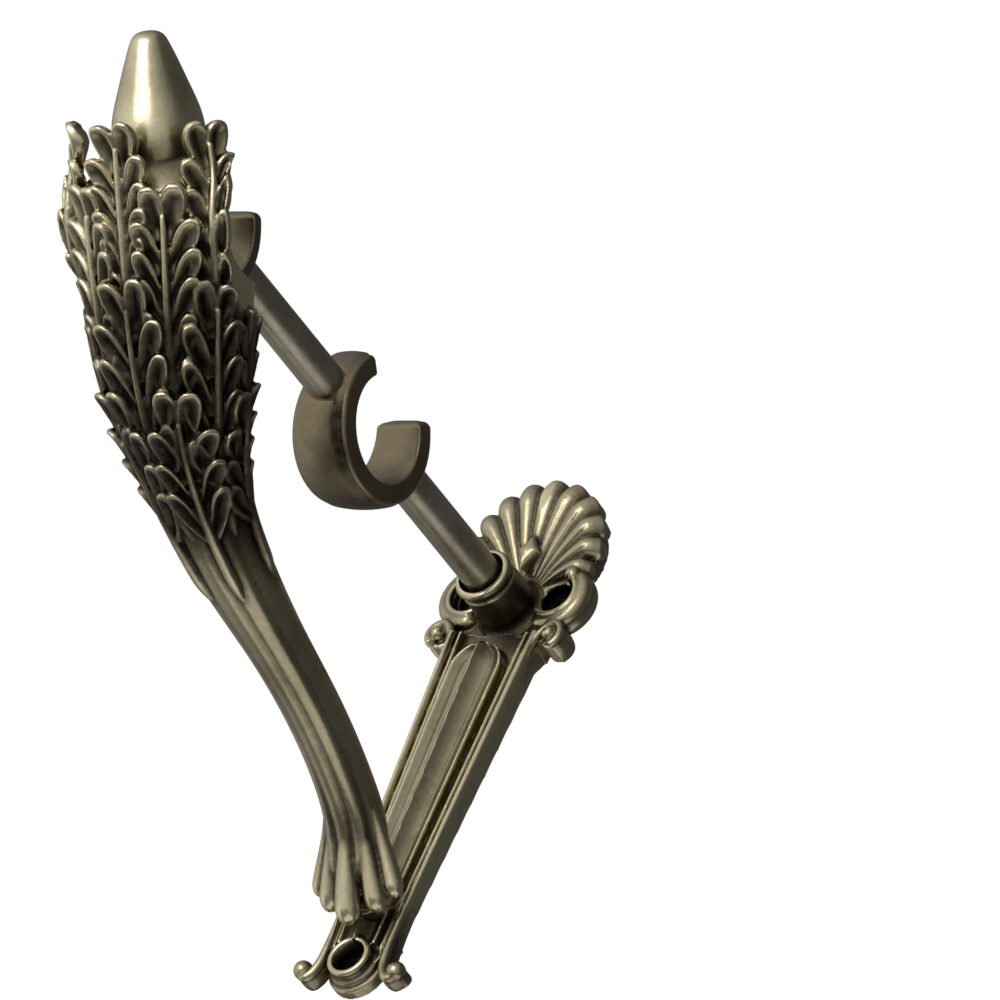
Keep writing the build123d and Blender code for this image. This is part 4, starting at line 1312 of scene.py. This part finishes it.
class BRACKET_OT_finishes(bpy.types.Operator):
    """Make the materials"""
    bl_idname = "bracket.finishes"
    bl_label = "Mix finishes"

    def execute(self, context):
        colours = context.scene.bracket_colours
        cloud_group()
        relief_group()
        cast_bronze(colours)
        smooth_metal("cup_bronze", colours.cup, CUP_ROUGH)
        smooth_metal("rod_bronze", colours.rod, ROD_ROUGH)
        smooth_metal("screw_steel", colours.screw, SCREW_ROUGH)
        return {"FINISHED"}


class BRACKET_OT_leaf_brace(bpy.types.Operator):
    """Cast the brace with its leaves, bud and foot"""
    bl_idname = "bracket.leaf_brace"
    bl_label = "Cast leaf brace"

    def execute(self, context):
        sizes = context.scene.bracket_sizes
        line = BraceLine()
        casting = Casting()
        brace_body(casting, line, sizes.stem_groove / MM)
        brace_bud(casting, line)
        brace_leaves(casting, line, sizes)
        brace_toes(casting)
        piece = new_piece("cast_leaf_brace", casting)
        pour(piece, sizes.brace_grain / MM)
        cut(piece, brace_cutters())
        thin_out(piece, sizes.triangles)
        # the leaves' patina with painted shade deep among them
        mark_relief(piece, darkening=line.leaf_patina_and_shade)
        dress(piece, "cast_bronze", "leaf_brace")
        return {"FINISHED"}


class BRACKET_OT_wall_plate(bpy.types.Operator):
    """Cast the wall plate with its shell, scrolls and tongue"""
    bl_idname = "bracket.wall_plate"
    bl_label = "Cast wall plate"

    def execute(self, context):
        sizes = context.scene.bracket_sizes
        casting = Casting()
        plate_tray(casting)
        plate_tongue(casting)
        plate_boss(casting)
        plate_shell(casting)
        plate_scrolls(casting)
        plate_foot(casting)
        casting.block(SHAFT_HALF, *HEAD_FIELD, 0.0, HEAD_FIELD_SUNK - HEAD_FLOOR)
        piece = new_piece("cast_wall_plate", casting)
        pour(piece, sizes.plate_grain / MM)
        cut(piece, plate_cutters())
        thin_out(piece, sizes.triangles)
        recesses = [(x, z, SCREW_RECESS_R + SEAT_ROOM, HEAD_FLOOR) for x, z in WALL_SCREWS]
        mark_relief(piece, recesses, plate_darkening)
        dress(piece, "cast_bronze", "wall_plate")
        return {"FINISHED"}


class BRACKET_OT_cups(bpy.types.Operator):
    """Turn the two ring cups"""
    bl_idname = "bracket.cups"
    bl_label = "Turn ring cups"

    def execute(self, context):
        rear = ("rear_cup", REAR_BORE_R, REAR_REACH, (-1, 1))
        front = ("front_cup", FRONT_BORE_R, FRONT_REACH, (-1,))
        for name, bore_r, reach, sides in (rear, front):
            piece = new_piece(f"smooth_{name}", cup_casting(bore_r, reach))
            cut(piece, cup_cutters(reach, sides))
            piece.data.shade_smooth()
            piece.data.set_sharp_from_angle(angle=math.radians(SHARP_CUP))
            dress(piece, "cup_bronze", name)
        return {"FINISHED"}


class BRACKET_OT_arm(bpy.types.Operator):
    """Finish the rods of the arm and the screws"""
    bl_idname = "bracket.arm"
    bl_label = "Finish arm and screws"

    def execute(self, context):
        for name in ("rear_rod", "front_rod"):
            dress(frame["nodes"][name], "rod_bronze")
        for name in ("cup_screw", "foot_screw", "socket_grub_screw"):
            dress(frame["nodes"][name], "screw_steel")
        return {"FINISHED"}


class BRACKET_OT_stage(bpy.types.Operator):
    """Set the floor, the light and the camera"""
    bl_idname = "bracket.stage"
    bl_label = "Set stage"

    def execute(self, context):
        scene = context.scene
        stage = scene.bracket_stage
        lay_floor(stage.floor_z, scene.bracket_colours.floor)
        place_camera(scene, stage.distance)
        hang_lights(stage)
        light_room(scene, stage.room_light)
        scene.view_settings.view_transform = "Standard"
        return {"FINISHED"}


class BRACKET_PT_panel(bpy.types.Panel):
    """Sidebar panel of the bracket"""
    bl_label = "Leaf bracket"
    bl_idname = "BRACKET_PT_panel"
    bl_space_type = "VIEW_3D"
    bl_region_type = "UI"
    bl_category = "Bracket"

    def draw(self, context):
        for name, kind in GROUPS:
            for field in kind.__annotations__:
                self.layout.prop(getattr(context.scene, name), field)
        for step in STEPS:
            self.layout.operator(step.bl_idname)


# Stage

def lay_floor(height, colour):
    """Pale floor far below the bracket."""
    mesh = bpy.data.meshes.new("floor")
    mesh.from_pydata([(FLOOR_HALF * a, FLOOR_HALF * b, height) for a, b in SQUARE], [], [(0, 1, 2, 3)])
    floor = bpy.data.objects.new("floor", mesh)
    bpy.context.scene.collection.objects.link(floor)
    tree, shader = new_material("floor_paint")
    wire(tree, shader, {"Base Color": (*colour, 1.0), "Roughness": FLOOR_ROUGH})
    mesh.materials.append(bpy.data.materials["floor_paint"])


def image_frame():
    """Right, up and back of the photograph's view."""
    right = IMAGE_RIGHT.normalized()
    back = right.cross(IMAGE_UP).normalized()
    return right, back.cross(right), back


def view_way(way):
    """Direction that is given to the right, up and back in the photograph's view."""
    right, up, back = image_frame()
    return (right * way[0] + up * way[1] + back * way[2]).normalized()


def place_camera(scene, distance):
    """Camera at the photograph's angle, with its scale and framing."""
    right, up, back = image_frame()
    shift_x = (IMAGE_SIDE / 2 - ORIGIN_PIXEL[0]) / PIXELS_PER_MM * MM
    shift_up = (ORIGIN_PIXEL[1] - IMAGE_SIDE / 2) / PIXELS_PER_MM * MM
    aim = right * shift_x + up * shift_up
    data = bpy.data.cameras.new("photo_camera")
    data.sensor_fit = "HORIZONTAL"
    data.lens = data.sensor_width * distance / (IMAGE_SIDE / PIXELS_PER_MM * MM)
    data.clip_end = CAMERA_FAR
    camera = bpy.data.objects.new("photo_camera", data)
    facing = Matrix((right, up, back)).transposed().to_4x4()
    camera.matrix_world = Matrix.Translation(aim + back * distance) @ facing
    scene.collection.objects.link(camera)
    scene.camera = camera


def hang_lights(stage):
    """Square soft lights: the main one from the upper left, a weak one from the right and one from below."""
    powers = (stage.key_power, stage.fill_power, stage.low_power)
    for (name, way, distance, size), power in zip(LIGHTS, powers):
        spot = view_way(way) * distance
        data = bpy.data.lights.new(name, "AREA")
        data.shape = "SQUARE"
        data.size = size
        data.energy = power
        light = bpy.data.objects.new(name, data)
        light.location = spot + LIGHT_AIM
        light.rotation_euler = spot.to_track_quat("Z", "Y").to_euler()
        bpy.context.scene.collection.objects.link(light)


def light_room(scene, strength):
    """White studio, bright at the upper left and dark at the right, so that metal keeps its contrast."""
    world = bpy.data.worlds.new("studio")
    world.use_nodes = True
    scene.world = world
    tree = world.node_tree
    path = node(tree, "ShaderNodeLightPath").outputs
    place = node(tree, "ShaderNodeTexCoord").outputs["Generated"]
    inputs = {0: place, 1: view_way(ROOM_BRIGHT)}
    toward = node(tree, "ShaderNodeVectorMath", inputs, operation="DOT_PRODUCT").outputs["Value"]
    sweep = ramp(tree, mapped(tree, toward, (-1.0, 1.0), (0.0, 1.0)), ROOM_SWEEP)
    level = maths(tree, "MULTIPLY", sweep, strength)
    mirror = maths(tree, "MAXIMUM", path["Is Glossy Ray"], path["Is Transmission Ray"])
    lit = mix_colour(tree, mirror, level, sweep)
    seen = mix_colour(tree, path["Is Camera Ray"], lit, WHITE)
    wire(tree, tree.nodes["Background"], {"Color": seen})


STEPS = (
    BRACKET_OT_finishes, BRACKET_OT_leaf_brace, BRACKET_OT_wall_plate,
    BRACKET_OT_cups, BRACKET_OT_arm, BRACKET_OT_stage,
)
GROUPS = (
    ("bracket_sizes", BracketSizes), ("bracket_colours", BracketColours), ("bracket_stage", BracketStage),
)


def register():
    for name, group in GROUPS:
        bpy.utils.register_class(group)
        setattr(bpy.types.Scene, name, PointerProperty(type=group))
    for item in (*STEPS, BRACKET_PT_panel):
        bpy.utils.register_class(item)


def unregister():
    for item in (BRACKET_PT_panel, *reversed(STEPS)):
        bpy.utils.unregister_class(item)
    for name, group in reversed(GROUPS):
        delattr(bpy.types.Scene, name)
        bpy.utils.unregister_class(group)


def main():
    register()
    bpy.ops.bracket.finishes()
    bpy.ops.bracket.leaf_brace()
    bpy.ops.bracket.wall_plate()
    bpy.ops.bracket.cups()
    bpy.ops.bracket.arm()
    bpy.ops.bracket.stage()


if __name__ == "__main__":
    main()
